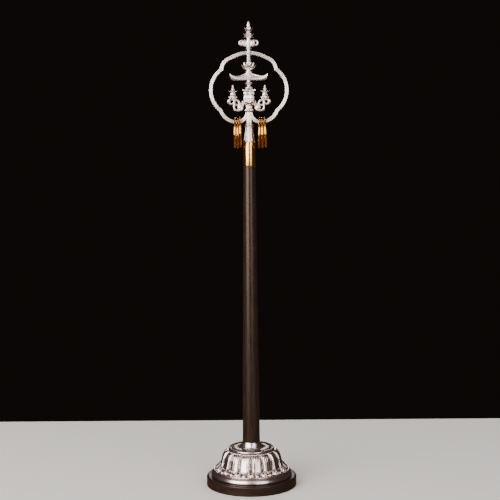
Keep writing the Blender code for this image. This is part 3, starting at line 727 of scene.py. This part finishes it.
def tipRadius(across, rise, crest, valley):
    # the pointed tips, one at each parting and a low one before each petal, and the flare there
    half = math.pi * crest / lotus["petalCount"]
    radius, flare = valley, 0.0
    for place, top, widest, width, left, taper in lotus["tips"]:
        if rise >= top:
            continue
        if rise > widest:
            share = (1 - (rise - widest) / (top - widest)) ** taper
        else:
            share = 1 - (1 - left) * ((widest - rise) / widest) ** lotus["tipPoint"]
        span = width * share * half
        if place:
            flare = span
        away = abs(place - abs(across)) * half / span
        if away < 1:
            radius = max(radius, valley + (crest - valley) * mound(away, lotus["tipFullness"])
                         + lotus["tipRidge"] * (1 - away))
    return radius, flare


def bodyRadius(across, rise, crest, body, valley):
    # one petal's streaked front, with its rounded foot and notched top
    foot, full = lotus["bodyFoot"], lotus["bodyFull"]
    drop = max(0.0, (full - rise) / (full - foot))
    rounding = (1 - drop ** lotus["bodyRounding"]) ** (1 / lotus["bodyRounding"])
    flat, steep = lotus["flank"]
    wave = math.cos(math.pi * across / lotus["bodyShare"] * lotus["streaks"])
    top = lotus["bodyTop"] + lotus["notch"] * wave
    lift = (1 - min(1.0, abs(across) / (lotus["bodyShare"] * rounding)) ** flat) ** steep
    lift *= smooth(rise, foot, foot + 0.05) * smooth(top + 0.02 - rise, 0.0, 0.03)
    low, high = lotus["streakDepth"]
    cut = (low + (high - low) * smooth(rise, *lotus["streakDeepens"])) * (0.5 + 0.5 * wave) ** 2
    cut *= smooth(rise, *lotus["streakStarts"])
    return max(valley + (body - cut - valley) * lift,
               valley + (crest - valley) * smooth(rise, top + 0.03, top + 0.045))


def petalRadius(across, rise, crest, body, valley):
    # across runs from -1 to 1 over one petal's pitch
    radius, flare = tipRadius(across, rise, crest, valley)
    side = (1 - abs(across)) * math.pi * crest / lotus["petalCount"]
    rim = max(lotus["rimPlace"], flare + lotus["rimClear"])
    lift = lotus["rimLift"] if flare else 0.0
    radius = max(radius, valley + (crest - valley + lift) * mound((side - rim) / lotus["rimHalf"]))
    if rise > lotus["bodyFoot"]:
        radius = max(radius, bodyRadius(across, rise, crest, body, valley))
    return radius


def petalRows(petalFoot):
    columns, count = lotus["columns"], lotus["petalCount"]
    levels = [tracedLevel(lotus[name]) for name in ("crest", "body", "valley")]
    spread = []                           # closer together at the partings
    for n in range(columns):
        spread.append(math.sin(math.pi / 2 * (2 * n / columns - 1)))
    radii = []
    for k in range(lotus["rows"] + 1):
        rise = k / lotus["rows"]
        heights = [level(rise) for level in levels]
        radii.append([petalRadius(across, rise, *heights) for across in spread] * count)
    rows = []
    for k, reaches in enumerate(eased(eased(radii))):
        row = []
        for n, radius in enumerate(reaches):
            petal, place = divmod(n, columns)
            turn = petal + (spread[place] + 1) / 2
            angle = front + lotus["petalTurn"] + 2 * math.pi * turn / count
            row.append((radius * math.cos(angle), radius * math.sin(angle),
                        petalFoot + lotus["petalHeight"] * k / lotus["rows"]))
        rows.append(row)
    return rows


def makeLotus():
    low, high = nodeBox("lotus_base")
    shaftLow, shaftHigh = nodeBox("shaft")
    foot, top, flangeRadius = low.z, high.z, high.x
    petalFoot = foot + lotus["petalRise"]
    petalTop = petalFoot + lotus["petalHeight"]
    piece = Casting("lotusBase")

    rows = petalRows(petalFoot)
    tips, root = rows[0], lotus["rootRadius"]
    under = [atRadius(tips, root, petalFoot - 0.5), atRadius(tips, lotus["waist"], petalFoot + 0.2),
             [(x * 0.985, y * 0.985, petalFoot - 0.35) for x, y, _ in tips]]
    piece.skin(under + rows + [atRadius(tips, root, petalTop - 0.4)], loop=True)

    bore = shaftHigh.x + fitGap
    collarTop = bore + lotus["collarWall"]
    collarFoot = collarTop + lotus["collarFlare"]
    stepRadius = collarFoot + lotus["stepWidth"]
    rimRadius, rimBead = lotus["rimRadius"], lotus["rimBead"]
    rimLevel = petalTop + rimBead
    domeTop = petalTop + lotus["domeHeight"]
    stepLevel = domeTop - lotus["stepHeight"]
    socketFloor = shaftLow.z - fitGap
    flangeTop = foot + lotus["flangeHeight"]
    beadFoot = flangeTop + lotus["beadLift"]
    beadTop = beadFoot + lotus["beadHeight"]
    beadRadius = flangeRadius - lotus["beadInset"] - lotus["beadHeight"] / 2
    groove = flangeRadius - lotus["grooveDepth"]
    edge, (behind, above, below) = lotus["flangeEdge"], lotus["inside"]
    profile = [(0.0, foot), (flangeRadius - lotus["footInset"], foot)]
    profile += arc(flangeRadius - edge, foot + edge, edge, -90, -10, 4)
    profile += curveThrough(fromCorner((flangeRadius, foot), lotus["flange"]), 5)
    profile += fromCorner((groove, flangeTop), lotus["grooveEdge"]) + [(groove, beadFoot)]
    profile += bead(beadRadius, beadFoot, beadTop)
    profile += [(groove - 0.6, beadTop - 0.5), (lotus["waist"], beadTop - 0.2),
                (lotus["waist"] - behind, petalFoot + above), (rimRadius, petalTop - below)]
    profile += arc(rimRadius, rimLevel, rimBead, -60, 150, 12)
    profile += curveThrough(fromCorner((rimRadius - rimBead, rimLevel), lotus["domeFoot"])
                            + fromCorner((stepRadius, stepLevel), lotus["domeHead"]), 4)
    profile += [(stepRadius, stepLevel + lotus["stepFoot"])]
    profile += fromCorner((stepRadius, domeTop), lotus["stepEdge"])
    profile.append((collarFoot + lotus["collarGap"], domeTop))
    profile += curveThrough(fromCorner((collarFoot, domeTop), [lotus["collarFoot"]])
                            + fromCorner((collarTop, domeTop), [lotus["collarNeck"]])
                            + fromCorner((collarTop, top), [lotus["collarHead"]]), 4)
    edge = lotus["collarEdge"]
    profile += arc(collarTop - edge, top - edge, edge, 0, 90, 3)
    profile += [(bore, top - 0.1), (bore, socketFloor), (0.0, socketFloor)]
    piece.turn(profile, lotus["steps"])
    made = piece.build(sharp=50.0)
    markHollows(made, lotus["hollowReach"], lotus["hollowRays"])
    return made


handIn(makeLotus(), castingFinish("lotusSilver", *castingLook["lotus"]), "lotus_base")


# Shaft and ferrule

rod = {
    "topRadius": 6.15,
    "tenonRadius": 5.2,
    "tenonLength": 14.0,
    "footEdge": 0.4,
    "topEdge": 0.25,
    "rows": 24,
    "steps": 96,
}


def makeShaft():
    low, high = nodeBox("shaft")
    footRadius, topRadius, edge = high.x, rod["topRadius"], rod["footEdge"]
    collarTop = nodeBox("lotus_base")[1].z
    shoulder = high.z - rod["tenonLength"]
    profile = [(0.0, low.z), (footRadius - edge, low.z), (footRadius, low.z + edge)]
    for k in range(rod["rows"] + 1):
        share = k / rod["rows"]
        profile.append((footRadius + (topRadius - footRadius) * share,
                        collarTop + (shoulder - rod["topEdge"] - collarTop) * share))
    profile += [(topRadius - rod["topEdge"], shoulder), (rod["tenonRadius"], shoulder),
                (rod["tenonRadius"], high.z), (0.0, high.z)]
    piece = Casting("shaft")
    piece.turn(profile, rod["steps"])
    return piece.build()


handIn(makeShaft(), woodFinish("shaftWood", (4.0, 4.0, 0.25), 0.24, 0.0), "shaft")

tube = {
    "wall": 0.5,
    "neckRadius": 4.2,
    "neckHeight": 3.0,
    "neckFillet": 0.2,
    "edge": 0.35,
    "steps": 96,
}


def makeFerrule():
    low, high = nodeBox("ferrule")
    radius, top = high.x, high.z - tube["neckHeight"]
    edge, wall, neck, fillet = tube["edge"], tube["wall"], tube["neckRadius"], tube["neckFillet"]
    bore = radius - wall
    profile = arc(radius - edge, low.z + edge, edge, -90, 0, 4)
    profile += arc(radius - edge, top - edge, edge, 0, 90, 4)
    profile += [(neck + fillet, top), (neck, top + fillet), (neck, high.z), (neck - wall, high.z),
                (neck - wall, top - 2 * wall), (bore, top - 2 * wall), (bore, low.z)]
    piece = Casting("ferrule")
    piece.turn(profile, tube["steps"], loop=True)
    return piece.build()


handIn(makeFerrule(), brassFinish("ferruleBrass", brassLook["ferrule"], (1.0, 1.0, 0.15)),
       "ferrule")


# Head: the stages of its column, from the petal skirt up, with their heights

head = {
    "stages": (
        ("skirt", 14.3), ("collar", 2.9), ("stem", 11.8), ("vase", 6.9), ("seat", 3.9),
        ("pavilion", 9.8), ("shoulder", 2.4), ("tier", 2.2), ("tierNeck", 2.3), ("tierDisc", 1.9),
        ("roofNeck", 2.0), ("roof", 6.8), ("knob", 2.2), ("knobNeck", 1.7), ("crown", 6.6),
        ("spire", 8.0), ("junction", 4.4), ("neckCollar", 2.9), ("ears", 6.8), ("earNeck", 2.0),
        ("leafTier", 4.3), ("bulb", 2.0), ("upperLeaf", 2.9), ("bud", 7.2),
    ),
    "pagodaRise": 6.1,                    # of the little pagodas' feet, above the seat's
    "pagodaHeight": 14.3,
    "hollowReach": 0.0032,
    "hollowRays": 12,
}

stageFoot, stageTop = {}, {}
level = nodeBox("staff_head")[1].z - sum(height for _, height in head["stages"])
for stageName, stageHeight in head["stages"]:
    stageFoot[stageName] = level
    level += stageHeight
    stageTop[stageName] = level
stageFoot["pagoda"] = stageFoot["seat"] + head["pagodaRise"]
stageTop["pagoda"] = stageFoot["pagoda"] + head["pagodaHeight"]


def at(stageName, share):
    return stageFoot[stageName] + (stageTop[stageName] - stageFoot[stageName]) * share


def shareOf(stageName, height):
    return (height - stageFoot[stageName]) / (stageTop[stageName] - stageFoot[stageName])


def staged(rows):
    # the outline that a table gives: lines, curves with their steps for each span, and beads
    # (radius, low, high, swell, steps); a name is the stage whose shares come after it
    outline = []
    for kind, stage, *row in rows:
        if kind == "bead":
            radius, low, high, *rest = row
            outline += bead(radius, at(stage, low), at(stage, high), *rest)
            continue
        places = []
        for place in row:
            if isinstance(place, str):
                stage = place
            else:
                places.append((place[0], at(stage, place[1])))
        outline += places if kind == "line" else curveThrough(places, kind)
    return outline


skirt = {
    "petals": 10,
    "topRadius": 4.0,
    "hemRadius": 6.0,
    "topLap": 0.4,                        # how far it reaches up into the collar
    "fluteDepth": 0.75,
    "drop": 1.7,                          # how far the petals' rounded ends hang below the partings
    "rows": 22,
    "steps": 160,
}


def addSkirt(piece):
    top, foot = stageTop["skirt"] + skirt["topLap"], stageFoot["skirt"]
    rows = [[(0.0, 0.0, top)]]
    for k in range(skirt["rows"] + 1):
        share = k / skirt["rows"]
        swell = 0.32 * share + 0.68 * share ** 1.7
        radius = skirt["topRadius"] + (skirt["hemRadius"] - skirt["topRadius"]) * swell
        row = []
        for n in range(skirt["steps"]):
            turn = 2 * math.pi * n / skirt["steps"]
            lobe = abs(math.cos(skirt["petals"] * turn / 2))
            hem = foot + skirt["drop"] * (1 - lobe) ** 1.3
            reach = radius - skirt["fluteDepth"] * (1 - lobe ** 0.75) * (0.35 + 0.65 * share)
            row.append((reach * math.cos(front + turn), reach * math.sin(front + turn),
                        top + (hem - top) * share))
        rows.append(row)
    hem = rows[-1]
    ceiling = foot + tube["neckHeight"] + fitGap
    for share in (0.0, 0.5, 1.0):
        rows.append(atRadius(hem, tube["neckRadius"] + fitGap, ceiling, share))
    piece.skin(rows + [[(0.0, 0.0, ceiling)]])


column = {
    "spigotRadius": 3.4,
    "spigotLength": 9.0,
    "spigotEdge": 0.3,
    "steps": 56,
    "carvedSteps": 80,
    "stemReeds": 8,
    "reedDepth": 0.55,
    "vaseLeaves": 8,
    "collar": (("line", "collar", (0.0, -0.1), (3.2, -0.1)), ("bead", "collar", 3.8, 0.0, 0.55, 1.1),
               ("bead", "collar", 3.5, 0.62, 1.0, 1.4), ("line", "collar", (2.4, 1.05), (0.0, 1.1))),
    "stem": (("line", "stem", (0.0, -0.1)),
             (5, "stem", (3.05, -0.05), (3.15, 0.2), (2.8, 0.6), (2.75, 1.02)),
             ("line", "stem", (0.0, 1.1))),
    "vase": (("line", "vase", (0.0, -0.08)),
             (5, "vase", (2.6, -0.04), (3.9, 0.08), (4.3, 0.3), (3.6, 0.55), (3.3, 0.75), (3.4, 1.02)),
             ("line", "vase", (0.0, 1.1))),
    "seat": (("line", "seat", (0.0, -0.05), (3.2, -0.05)), ("bead", "seat", 4.2, 0.0, 0.4, 1.2),
             ("bead", "seat", 5.3, 0.45, 1.0, 0.9), ("line", "seat", (0.0, 1.05))),
    "upper": (
        ("line", "shoulder", (0.0, 0.6), (2.15, 0.6), "tier", (2.15, 0.0)),
        ("bead", "tier", 3.1, 0.05, 0.95),
        (3, "tierNeck", (2.25, 0.1), (2.05, 0.5), (2.45, 0.95)),
        ("bead", "tierDisc", 3.1, 0.05, 0.95, 0.95),
        ("line", "roofNeck", (2.15, 0.1), (2.25, 1.0), "roof", (2.15, 0.5), (2.15, 0.98)),
        ("bead", "knob", 2.7, 0.0, 1.0, 0.85),
        (4, "knobNeck", (2.7, 0.1), (2.5, 0.5), (2.9, 1.0), "crown", (2.4, 0.3), (2.15, 0.95)),
        *[("bead", "spire", 2.13 - 0.04 * k, 0.02 + 0.245 * k, 0.22 + 0.245 * k, 0.4, 6)
          for k in range(4)],
        ("bead", "junction", 1.9, 0.05, 0.62, 0.75),
        ("line", "junction", (1.9, 0.68), (1.95, 0.98)),
        ("bead", "neckCollar", 2.3, 0.02, 0.48), ("bead", "neckCollar", 2.2, 0.56, 0.98, 0.9),
        (4, "ears", (2.05, 0.05), (2.4, 0.5), (2.3, 1.0), "earNeck", (2.2, 0.5), (2.3, 1.0),
         "leafTier", (2.4, 0.5), (1.65, 1.0)),
        ("bead", "bulb", 1.55, 0.05, 0.9, 0.9),
        (3, "upperLeaf", (1.5, 0.1), (1.75, 0.6), (1.6, 0.95)),
        ("bead", "bud", 1.8, 0.0, 0.1, 1.0, 5),
        (4, "bud", (1.9, 0.12), (2.12, 0.24), (1.95, 0.45), (1.5, 0.7), (0.95, 0.9), (0.5, 0.975)),
        ("line", "bud", (0.0, 1.0)),
    ),
}


def addColumn(piece):
    spigot, edge = column["spigotRadius"], column["spigotEdge"]
    spigotFoot = stageFoot["skirt"] - column["spigotLength"]
    piece.turn([(0.0, spigotFoot), (spigot - edge, spigotFoot), (spigot, spigotFoot + edge),
                (spigot, at("skirt", 0.5)), (0.0, at("skirt", 0.55))], column["steps"])

    def reeds(turn, height):
        return -column["reedDepth"] * (1 - abs(math.cos(column["stemReeds"] * turn / 2))) ** 0.8

    def leafy(turn, height):
        # two rows of upright leaves, the upper ones between the lower ones
        share = shareOf("vase", height)
        half = column["vaseLeaves"] / 2
        low = hill(share, 0.28, 0.33) * abs(math.cos(half * turn)) ** 0.6
        high = hill(share, 0.72, 0.30) * abs(math.sin(half * turn)) ** 0.6
        return 0.95 * low + 0.8 * high - 0.7

    for name, carving in (("collar", None), ("stem", reeds), ("vase", leafy), ("seat", None),
                          ("upper", None)):
        piece.turn(staged(column[name]), column["carvedSteps" if carving else "steps"], carving)


# tier: count, first turn in steps, width, thickness, cup, and the spine
leaves = {
    "seatOuter": (8, 0.5, 2.7, 0.5, 0.25,
                  ("seat", (2.4, -0.1), (5.2, 0.18), (6.7, 0.6), (7.4, 1.12))),
    "seatInner": (8, 0.0, 2.5, 0.5, 0.2,
                  ("seat", (2.4, 0.1), (5.0, 0.5), (6.0, 0.85), (6.3, 1.3))),
    "crownOuter": (8, 0.0, 2.0, 0.65, 0.3,
                   ("crown", (2.4, -0.05), (4.6, 0.10), (6.0, 0.34), (7.1, 0.70))),
    "crownMiddle": (8, 0.5, 1.9, 0.6, 0.3,
                    ("crown", (2.3, 0.05), (3.8, 0.3), (4.7, 0.62), (5.6, 1.02))),
    "crownInner": (6, 0.0, 1.5, 0.45, 0.3,
                   ("crown", (1.9, 0.2), (2.7, 0.5), (2.9, 0.7), (3.3, 1.0))),
    "crownFoot": (8, 0.0, 1.6, 0.4, 0.2,
                  ("knobNeck", (2.6, 0.9), "crown", (3.9, 0.05), (4.6, 0.2), (5.3, 0.15))),
    "rising": (6, 0.5, 1.5, 0.65, 0.2,
               ("leafTier", (1.5, 0.4), (3.1, 0.52), (4.2, 0.72), (5.0, 0.95))),
    "falling": (6, 0.5, 1.5, 0.6, -0.2,
                ("leafTier", (1.5, 0.6), (3.0, 0.45), (4.1, 0.22), (5.1, 0.02))),
    "upper": (6, 0.5, 1.3, 0.55, 0.2,
              ("upperLeaf", (1.4, -0.25), (2.5, 0.25), (3.3, 0.7), (4.1, 1.28))),
}


def addLeaves(piece, tiers, middle=0.0):
    for count, first, width, thickness, cup, places in tiers.values():
        spine = staged([("line", *places)])
        for k in range(count):
            piece.leaf(spine, front + 2 * math.pi * (k + first) / count, width, thickness, cup, middle)


roofs = {
    "roof": {"halfWidth": 18.5, "halfDepth": 10.5, "tipRise": 4.4, "thickness": 1.3, "waist": 2.6,
             "topRadius": 3.0, "ribs": 17, "ribHeight": 0.16, "rim": 0.45, "acrossSteps": 136,
             "alongSteps": 60, "rows": 26},
    "shoulder": {"halfWidth": 6.4, "halfDepth": 5.5, "tipRise": 0.5, "thickness": 1.1, "waist": 0.7,
                 "topRadius": 3.2, "ribs": 7, "ribHeight": 0.12, "rim": 0.2, "acrossSteps": 28,
                 "alongSteps": 24, "rows": 12},
    "slopePower": 2.1,                    # how hollow the slopes are
    "sweepPower": 2.8,                    # how near the eaves the corners start to rise
    # under the eaves: share of the reach, share of the corners' rise, height above the foot
    "soffit": ((1.0, 1.0, 0.0), (0.95, 0.82, 0.15), (0.84, 0.0, 0.1)),
}


def addRoof(piece, name):
    # concave slopes with tile ribs, sides drawn in, corners swept up and a rim along the eaves
    size = roofs[name]
    foot, top = stageFoot[name], stageTop[name]
    wide, deep = size["acrossSteps"], size["alongSteps"]
    outline = [(1 - 2 * k / wide, -1.0, k / wide) for k in range(wide)]
    outline += [(-1.0, -1 + 2 * k / deep, k / deep) for k in range(deep)]
    outline += [(-1 + 2 * k / wide, 1.0, k / wide) for k in range(wide)]
    outline += [(1.0, 1 - 2 * k / deep, k / deep) for k in range(deep)]
    neck = size["topRadius"] / size["halfWidth"]

    def row(reach, lift, base, ribs=0.0):
        points = []
        for across, along, place in outline:
            onLong = abs(along) == 1.0
            share = abs(across) if onLong else abs(along)
            rise = size["tipRise"] * (0.3 * share ** 2 + 0.7 * share ** 7) * lift
            draw = size["waist"] * (1 - share ** 2) * reach
            x, y = across * size["halfWidth"] * reach, along * size["halfDepth"] * reach
            if onLong:
                y -= math.copysign(draw * 0.5, y)
            else:
                x -= math.copysign(draw, x)
            ribCount = size["ribs"] if onLong else size["ribs"] // 2 + 1
            wave = abs(math.cos(math.pi * ribCount * place)) ** 2.5 * size["ribHeight"]
            hip = size["rim"] * smooth(share, 0.93, 1.0)
            points.append((x, y, base + rise + ribs * max(wave, hip)))
        return points

    rows = [[(0.0, 0.0, top)]]
    eaves = foot + size["thickness"]
    for k in range(size["rows"] + 1):
        reach = neck + (1 - neck) * k / size["rows"]
        height = eaves + (top - eaves) * ((1 - reach) / (1 - neck)) ** roofs["slopePower"]
        rim = size["rim"] * smooth(reach, 0.955, 0.975)
        ribs = smooth(reach, neck, 0.4) * (1 - smooth(reach, 0.94, 0.97))
        rows.append(row(reach, reach ** roofs["sweepPower"], height + rim, ribs))
    for reach, lift, above in roofs["soffit"]:
        rows.append(row(reach, lift, foot + above))
    piece.skin(rows + [[(0.0, 0.0, foot + roofs["soffit"][-1][-1])]])


pavilion = {
    "width": 10.9,
    "depth": 9.0,
    "squareness": 4.5,
    "sunk": 0.8,                          # into the seat
    "lap": 0.4,                           # into the roof above it
    "steps": 112,
    "rows": 40,
    "ribs": 26,
    "band": 0.62,                         # where a groove parts the lower and upper storeys
    "recess": 1.15,                       # of the upper storey, behind its arches
    "arches": (-0.42, 0.42),              # turns from the middle of each face
    "archHalf": (0.30, 0.45),             # across, and up
    "archMiddle": 0.40,
}


def pavilionCut(turn, share):
    # how far the wall stands out from the plan at a turn from the front and a share of the height
    band, ribs = pavilion["band"], pavilion["ribs"]
    if share < band:
        swell = math.sin(math.pi * share / band) ** 0.5
        cut = -0.65 + 0.6 * swell - 0.16 * (1 + math.cos(ribs * turn)) * swell
        cut += 0.35 * hill(share, 0.30, 0.05)
    else:
        faceTurn = (turn + math.pi / 4) % (math.pi / 2) - math.pi / 4
        above = (share - band) / (1 - band)
        cut = -pavilion["recess"] + 0.35 * smooth(above, 0.75, 0.9)
        across, up = pavilion["archHalf"]
        for middle in pavilion["arches"]:
            arch = math.hypot((faceTurn - middle) / across, (above - pavilion["archMiddle"]) / up)
            cut = max(cut, -pavilion["recess"] + smooth(pavilion["recess"] - arch, 0.0, 0.45))
    return cut - 0.5 * hill(share, band, 0.035)


def addPavilion(piece):
    foot, top = stageFoot["pavilion"] - pavilion["sunk"], stageTop["pavilion"] + pavilion["lap"]
    power = pavilion["squareness"]
    rows = [[(0.0, 0.0, foot)]]
    for k in range(pavilion["rows"] + 1):
        share = k / pavilion["rows"]
        row = []
        for n in range(pavilion["steps"]):
            turn = 2 * math.pi * n / pavilion["steps"]
            sx, sy = math.sin(turn), -math.cos(turn)
            corner = (abs(sx) ** power + abs(sy) ** power) ** (1 / power)
            x, y = sx / corner * pavilion["width"] / 2, sy / corner * pavilion["depth"] / 2
            reach = 1 + pavilionCut(turn, share) / math.hypot(x, y)
            row.append((x * reach, y * reach, foot + (top - foot) * share))
        rows.append(row)
    piece.skin(rows + [[(0.0, 0.0, top)]])


cloud = {
    "width": 3.8,
    "depth": 4.0,
    "groove": 0.85,                       # below the bar's two ridges
    "ridgePlace": 0.55,                   # of half the width
    "ridgeRadius": 0.82,
    "sideDrop": (0.02, 1.3),              # how a side's edge lies in from the bar's corner
    # reach, and height above the stem's top or below the junction's foot
    "foot": (1.7, -0.5),
    "lowest": (11.7, -9.7),
    "lowerCusp": (28.0, 1.8),
    "upperCusp": (26.8, -14.6),
    "shoulder": (18.3, -3.7),
    "crown": (1.55, 1.5),
    "sideBulge": 10.1,
    "upperBulge": 2.1,
    "topRise": 1.1,
}


def framePath():
    def placed(name, base):
        return -cloud[name][0], base + cloud[name][1]

    foot, lowest, lowerCusp = [placed(name, stageTop["stem"])
                               for name in ("foot", "lowest", "lowerCusp")]
    upperCusp, shoulder, crown = [placed(name, stageFoot["junction"])
                                  for name in ("upperCusp", "shoulder", "crown")]
    brow = ((crown[0] + shoulder[0]) / 2, (crown[1] + shoulder[1]) / 2 + cloud["topRise"])
    top = curveThrough([crown, brow, shoulder], 8)
    upper = bulgedArc(shoulder, upperCusp, cloud["upperBulge"], 10)
    side = bulgedArc(upperCusp, lowerCusp, cloud["sideBulge"], 34)
    lower = levelArc(lowest, lowerCusp, 16)[::-1] + levelArc(lowest, foot, 16)[1:]
    return top + upper[1:] + side[1:] + lower[1:]


def addFrame(piece):
    half, deep = cloud["width"] / 2, cloud["depth"] / 2
    radius, (inward, drop) = cloud["ridgeRadius"], cloud["sideDrop"]
    ridge = arc(cloud["ridgePlace"] * half, deep - radius, radius, 12, 168, 7)
    section = [(half, 0.0), (half - inward, deep - drop)] + ridge + [(0.0, deep - cloud["groove"])]
    section += [(-a, d) for a, d in reversed(ridge)] + [(-half + inward, deep - drop), (-half, 0.0)]
    section += [(-a, -d) for a, d in section[1:-1]]
    for side in (1, -1):
        piece.sweep([(side * x, z) for x, z in framePath()], section)


# Scrolls: strokes along paths, melted together with a few lumps

def strokeSection(stroke, depth, points=14):
    return [(stroke * math.cos(2 * math.pi * k / points), depth * math.sin(2 * math.pi * k / points))
            for k in range(points)]


def addScrolls(piece, side, paths, section, lumps, voxel):
    lump = Casting("scrollLump")
    for path in paths:
        lump.sweep([(side * x, z) for x, z in path], section)
    for x, z, *halves in lumps:
        lump.ball(side * x, z, *halves)
    piece.fuse(lump, voxel)


arms = {
    "reach": 15.8,                        # of the little pagodas' axes
    "root": 5.0,
    "rootRise": 1.0,                      # above the seat's foot
    # from the pagoda's axis and the seat's foot: across, up, radius, first and last angle, steps
    "innerCurl": (-3.5, 2.4, 2.5, 190, 75, 10),
    "outerCurl": (1.6, 3.7, 2.5, 110, -140, 20),
    "lowerCurl": (-3.9, -2.0, 3.0, 0, -95, 9),
    "knotCurl": (-6.8, -2.5, 2.3, -100, -215, 9),
    "postTop": 6.2,
    "postFoot": 1.15,
    "bridge": ((-10.8, 0.1), (-4.0, 0.1), (-1.1, 0.6)),
    # across, up, half width, half depth, half height
    "lumps": ((4.3, 3.8, 1.8, 1.9, 2.5), (-6.8, -2.05, 2.5, 1.75, 3.1), (1.4, 6.6, 1.3, 1.5, 1.0),
              (-3.2, 5.2, 1.4, 1.5, 1.0), (-1.7, -4.6, 1.3, 1.4, 1.0)),
    "stroke": 1.1,
    "depth": 1.5,
    "voxel": 0.26,
}


def addArms(piece):
    reach, seatZ = arms["reach"], stageFoot["seat"]

    def curl(name):
        across, up, *rest = arms[name]
        return arc(reach + across, seatZ + up, *rest)

    post = reach - arms["stroke"]
    inner = arms["innerCurl"]
    root = seatZ + arms["rootRise"]
    upper = [(arms["root"], root)] + curl("innerCurl") + curl("outerCurl")
    under = [(post, seatZ + arms["postTop"]), (post, seatZ + arms["postFoot"])]
    under += curl("lowerCurl") + curl("knotCurl") + [(reach + inner[0] - inner[2], root)]
    bridge = fromCorner((reach, seatZ), arms["bridge"])
    lumps = [(reach + across, seatZ + up, *halves) for across, up, *halves in arms["lumps"]]
    for side in (-1, 1):
        addScrolls(piece, side, (upper, under, bridge), strokeSection(arms["stroke"], arms["depth"]),
                   lumps, arms["voxel"])
        addSidePagoda(piece, side * reach)


sidePagoda = {
    "steps": 36,
    "outline": (
        ("line", "pagoda", (0.0, 0.0)),
        ("bead", "pagoda", 2.847, 0.0, 0.10, 1.0, 6),
        (4, "pagoda", (3.577, 0.13), (3.358, 0.2), (2.628, 0.29), (2.409, 0.4), (2.555, 0.47)),
        ("line", "pagoda", (3.285, 0.49), (3.358, 0.52), (2.19, 0.56), (1.387, 0.6)),
        ("bead", "pagoda", 1.241, 0.61, 0.73, 0.8), ("bead", "pagoda", 0.803, 0.75, 0.83, 0.9, 6),
        (3, "pagoda", (0.73, 0.85), (1.095, 0.89), (0.584, 0.96), (0.05, 0.995)),
        ("line", "pagoda", (0.0, 1.0)),
    ),
    "leaves": {
        "eaves": (4, 1.0, 1.3, 0.42, 0.2,
                  ("pagoda", (1.6425, 0.56), (2.92, 0.52), (3.8325, 0.53), (4.2, 0.60))),
        "foot": (8, 2.5, 1.1, 0.4, 0.2,
                 ("pagoda", (1.825, -0.05), (3.1025, 0.0), (3.65, 0.07), (4.088, 0.18))),
    },
}


def addSidePagoda(piece, x):
    def carved(turn, height):
        share = shareOf("pagoda", height)
        flute = 0.28 * math.cos(6 * turn) * hill(share, 0.25, 0.26)
        return flute + 0.2 * math.cos(12 * turn) * hill(share, 0.06, 0.06)

    piece.turn(staged(sidePagoda["outline"]), sidePagoda["steps"], carved, x)
    addLeaves(piece, sidePagoda["leaves"], x)


ears = {
    "reach": 10.2,
    "root": 0.9,
    "stroke": 1.15,
    "eye": 0.95,
    "depth": 1.7,
    "voxel": 0.22,
    # across, up from the middle, half width, half depth, half height
    "lumps": ((3.6, -0.2, 2.9, 1.7, 3.0), (5.05, 0.5, 1.3, 1.85, 1.5), (2.6, -2.2, 1.8, 1.7, 1.5)),
    "dimple": (1.4, 0.8, 1.4),            # the web that shuts the left ear's eye
}


def addEars(piece):
    middle = at("ears", 0.55)
    curl = ears["eye"] + ears["stroke"]
    eyeX = ears["reach"] - ears["stroke"] - curl
    path = [(ears["root"], middle + curl - 0.1)] + arc(eyeX, middle, curl, 90, -120, 18)
    path += [(eyeX * 0.55, at("ears", 0.14)), (ears["root"], at("ears", 0.15))]
    lumps = [(across, middle + up, *halves) for across, up, *halves in ears["lumps"]]
    section = strokeSection(ears["stroke"], ears["depth"])
    addScrolls(piece, -1, [path], section, lumps + [(eyeX, middle, *ears["dimple"])], ears["voxel"])
    addScrolls(piece, 1, [path], section, lumps, ears["voxel"])


def makeHead():
    piece = Casting("staffHead")
    addSkirt(piece)
    addColumn(piece)
    addLeaves(piece, leaves)
    addRoof(piece, "roof")
    addRoof(piece, "shoulder")
    addPavilion(piece)
    addFrame(piece)
    addArms(piece)
    addEars(piece)
    made = piece.build(sharp=50.0)
    markHollows(made, head["hollowReach"], head["hollowRays"])
    return made


handIn(makeHead(), castingFinish("headSilver", *castingLook["head"]), "staff_head")


# Rings

ring = {
    "radius": 15.0,
    "thickness": 1.5,
    "width": 2.1,
    "squareness": 2.1,
    "sides": 16,
    "steps": 128,
}


def makeRing(node):
    corners = [vertex.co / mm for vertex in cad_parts[node].data.vertices]
    middle = sum(corners, Vector()) / len(corners)
    # the ring leans in the frame's plane, so its axis is square to all its radii there
    spokes = [corner - middle for corner in corners]
    lean = sum(spoke.x * spoke.z for spoke in spokes) / sum(spoke.z ** 2 for spoke in spokes)
    axis = Vector((1.0, 0.0, -lean)).normalized()
    mean = ring["radius"] - ring["thickness"] / 2
    power = 2 / ring["squareness"]
    section = []
    for k in range(ring["sides"]):
        turn = 2 * math.pi * k / ring["sides"]
        c, s = math.cos(turn), math.sin(turn)
        section.append((mean + ring["thickness"] / 2 * math.copysign(abs(c) ** power, c),
                        ring["width"] / 2 * math.copysign(abs(s) ** power, s)))
    piece = Casting(node.replace("_l", "L").replace("_r", "R").replace("_", ""))
    piece.turn(section, ring["steps"], loop=True)
    place = Matrix.Translation(middle) @ axis.to_track_quat("Z", "Y").to_matrix().to_4x4()
    piece.points = [tuple(place @ Vector(point)) for point in piece.points]
    return piece.build()


ringFinish = brassFinish("ringBrass", brassLook["ring"], (1.0, 1.0, 1.0))
for node in sorted(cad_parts):
    if node.startswith("ring_"):
        handIn(makeRing(node), ringFinish, node)

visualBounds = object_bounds()
report("the visual model spans %s" % [round(edge, 4) for corner in visualBounds for edge in corner])
